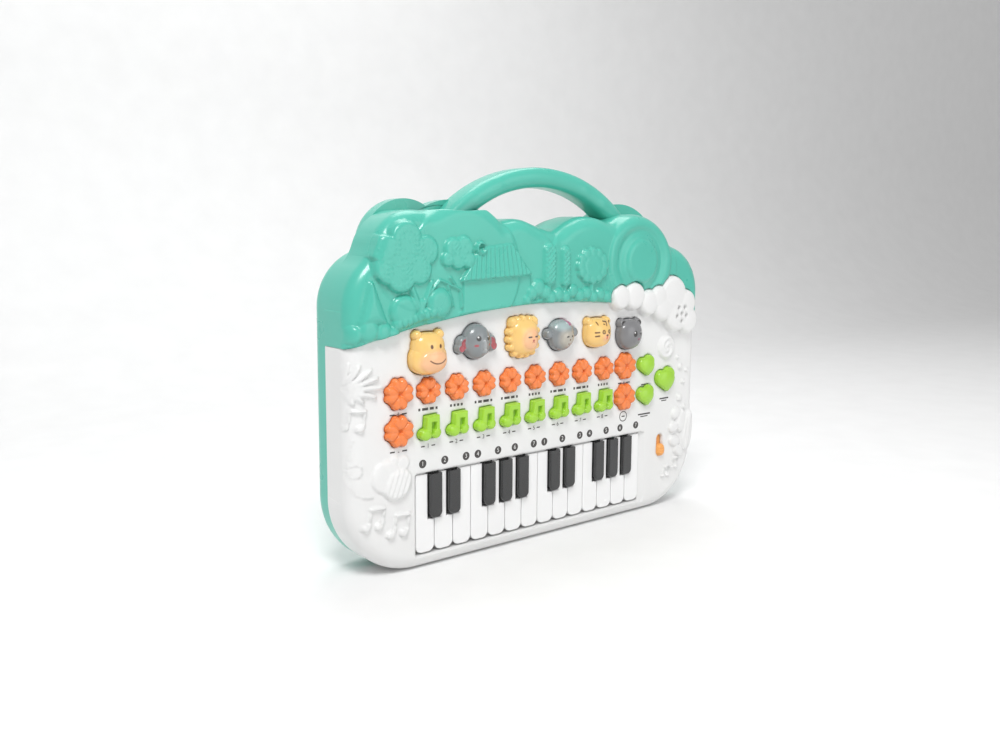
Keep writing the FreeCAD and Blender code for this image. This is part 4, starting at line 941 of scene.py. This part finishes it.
def rhythm_mark(ink, index, x, z):
    """Generic legend: a short bar pattern, different for each rhythm."""
    pattern = [1 + (index * 3 + k * (index + 2)) % 3 for k in range(4)]
    total = sum(pattern) + 3 * 0.9
    place = x - total / 2 * 1.35
    for length in pattern:
        ink.bar(place + length * 0.675, z, length * 1.35, 1.5)
        place += (length + 0.9) * 1.35


def build_printing():
    ink = Print(0.05)
    pale = Print(0.09)
    dots = Print(0.05)
    for index, x in enumerate(rhythm_columns()):
        rhythm_mark(ink, index, x, FLOWER_ROW - 10.7)
        ink.figures(str(index + 1), x, NOTE_ROW - 11.2, 3.6)
        ink.bar(x - 3.6, NOTE_ROW - 11.2, 2.6, 0.7)
        ink.bar(x + 3.6, NOTE_ROW - 11.2, 2.6, 0.7)
    for node, sign in (("tempo_up_button", "+"), ("tempo_down_button", "-"), ("volume_up_button", "+")):
        x, z = centre(node)
        ink.figures(sign, x, z - 11.6, 4.2)
        ink.bar(x - 4.0, z - 11.6, 3.2, 0.8)
        ink.bar(x + 4.0, z - 11.6, 3.2, 0.8)
    x, z = centre("volume_down_button")
    ink.ring(x, z - 13.6, 3.6, 0.6)
    ink.bar(x, z - 13.6, 3.0, 0.8)
    for node, wide in (("heart_button_upper", 7), ("heart_button_lower", 12), ("heart_button_stop", 9)):
        x, z = centre(node)
        ink.bar(x, z - 12.2, wide, 1.0)
        ink.bar(x, z - 13.8, wide * 0.6, 0.7)
    for index in range(14):
        x, z = centre(f"white_key_{index + 1:02d}")
        note = index % 7
        nudge = {0: -2.2, 2: 2.2, 3: -2.2, 6: 2.2}.get(note, 0.0)
        dots.disc(x + nudge, KEY_HIGH + 5.8, 2.5)
        pale.figures(str(note + 1), x + nudge, KEY_HIGH + 5.8, 3.6)
    ink.finish("panel_legends", INK)
    dots.finish("key_dots", INK)
    pale.finish("key_numbers", PALE_INK)


# ---- Knob ----------------------------------------------------------------------------------------

def build_knob():
    """Ridged knob of the power switch, on the plate that slides behind its slot."""
    x, z = centre("power_knob")

    def outline(p):
        return squircle(p, x, z, 3.5, 4.4, 2.6)

    def height(p, drop):
        inside = outline(p)
        return 0.4 + pillow(inside, 2.4, 2.2) + np.where(inside < -1.0, ribs(p[..., 1] - z, 1.8, 0.25), 0)

    def plate(p):
        return rect(p, x, z, 4.2, 12.0, 1.0)
    knob = relief("switch_knob", (x - 5, x + 5, z - 6, z + 6), 0.3, outline, height, PANEL_Y, KNOB,
                  body="power_knob", cut_y=PANEL_Y + 2.8)
    relief("switch_plate", (x - 5, x + 5, z - 13, z + 13), 0.6, plate, flat_height,
           PANEL_Y + WALL + 0.3, KNOB, body="power_knob", cut_y=PANEL_Y + WALL + 1.0)
    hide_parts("power_knob")


def build_shells():
    PANEL_HOLES.extend([key_tray, switch_slot, speaker_holes])

    def hole_back(flat):
        return np.where(key_tray(flat) < 1.0, PANEL_Y + TRAY_DEPTH, PANEL_Y + WALL)
    white = relief("white_panel", (-HALF_WIDTH, HALF_WIDTH, 0, SEAM_CROWN + 16), 0.7, white_outline,
                   white_height, PANEL_Y, WHITE, hole=panel_hole, rim=white_rim,
                   rim_y=PARTING_Y, cut_y=PANEL_Y + 1.0, hole_y=hole_back)
    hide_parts("front_shell")
    green = relief("green_scenery", (-HALF_WIDTH, HALF_WIDTH, SEAM_CROWN - 24, SEAM_CROWN + 54), 0.6,
                   green_outline, green_height, GREEN_Y, GREEN, rim=green_rim,
                   rim_y=PARTING_Y, cut_y=PANEL_Y + 0.5)
    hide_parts("top_shell")
    handle_front()
    back_deck()


def dress_cad():
    """Materials for the CAD nodes that stay."""
    looks = {"back_shell": GREEN, "battery_door": GREEN, "battery_door_screw": METAL,
             "case_screws": METAL, "key_frame": FRAME_GREY, "circuit_boards": BOARD,
             "key_contact_strip": RUBBER, "button_pad": RUBBER, "speaker": SPEAKER,
             "battery_cells": CELL, "battery_contacts": METAL}
    for name, piece in frame["nodes"].items():
        look = looks.get(name)
        if name.startswith("white_key"):
            look = KEY_WHITE
        elif name.startswith("black_key"):
            look = KEY_BLACK
        if look:
            piece.data.materials.clear()
            piece.data.materials.append(look)


# ---- Studio --------------------------------------------------------------------------------------

def build_stage():
    floor_look = plastic("studio_floor", (0.86, 0.86, 0.86), rough=0.7, grain=0.1)
    mesh = bpy.data.meshes.new("studio_floor")
    size, wall_y, bend = 3.0, 0.9, 0.4
    points, faces = [], []
    path = [(-size, 0.0), (wall_y - bend, 0.0)]
    path += [(wall_y - bend + bend * math.sin(a), bend - bend * math.cos(a))
             for a in np.linspace(0.15, math.pi / 2, 10)]
    path.append((wall_y, size))
    for y, z in path:
        points += [(-size, y, z), (size * 1.6, y, z)]
    for i in range(len(path) - 1):
        faces.append((2 * i, 2 * i + 1, 2 * i + 3, 2 * i + 2))
    mesh.from_pydata(points, [], faces)
    mesh.polygons.foreach_set("use_smooth", [True] * len(faces))
    mesh.materials.append(floor_look)
    floor = bpy.data.objects.new("studio_floor", mesh)
    bpy.context.scene.collection.objects.link(floor)
    floor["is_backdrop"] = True


def add_light(name, place, target, size, power):
    lamp = bpy.data.lights.new(name, "AREA")
    lamp.size = size
    lamp.energy = power
    holder = bpy.data.objects.new(name, lamp)
    holder.location = place
    holder.rotation_euler = (Vector(target) - Vector(place)).to_track_quat("-Z", "Y").to_euler()
    bpy.context.scene.collection.objects.link(holder)


def build_studio():
    build_stage()
    world = bpy.data.worlds.new("studio")
    world.use_nodes = True
    world.node_tree.nodes["Background"].inputs["Color"].default_value = (1, 1, 1, 1)
    world.node_tree.nodes["Background"].inputs["Strength"].default_value = 0.5
    bpy.context.scene.world = world
    add_light("key_light", (-0.55, -0.6, 1.15), (0, 0, 0.12), 0.40, 11)
    add_light("fill_light", (0.5, -1.3, 0.35), (0, 0, 0.12), 1.0, 4)
    add_light("top_light", (0.3, 0.35, 1.2), (0, 0, 0.1), 0.7, 5)
    bpy.context.scene.view_settings.view_transform = "Standard"


def build_camera():
    """Camera at the photograph's place and direction."""
    forward = Vector((0.62777, 0.76847, -0.12396)).normalized()
    up = Vector((0.07248, 0.10084, 0.99226))
    right = forward.cross(up).normalized()
    up = right.cross(forward)
    data = bpy.data.cameras.new("camera")
    data.sensor_width = 36.0
    data.lens = 33.85
    data.shift_x = -0.01473
    data.shift_y = -0.02228
    camera = bpy.data.objects.new("camera", data)
    turn_to = Matrix((right, up, -forward)).transposed().to_4x4()
    camera.matrix_world = Matrix.Translation(Vector((-384.9, -457.7, 197.6)) * MM) @ turn_to
    bpy.context.scene.collection.objects.link(camera)
    bpy.context.scene.camera = camera


build_camera()
build_studio()
dress_cad()
build_flowers()
build_notes_and_hearts()
build_animals()
build_knob()
build_shells()
build_printing()


def corners(box):
    return [list(corner) for corner in box]


{"cad": corners(cad_box), "visual": corners(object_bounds())}
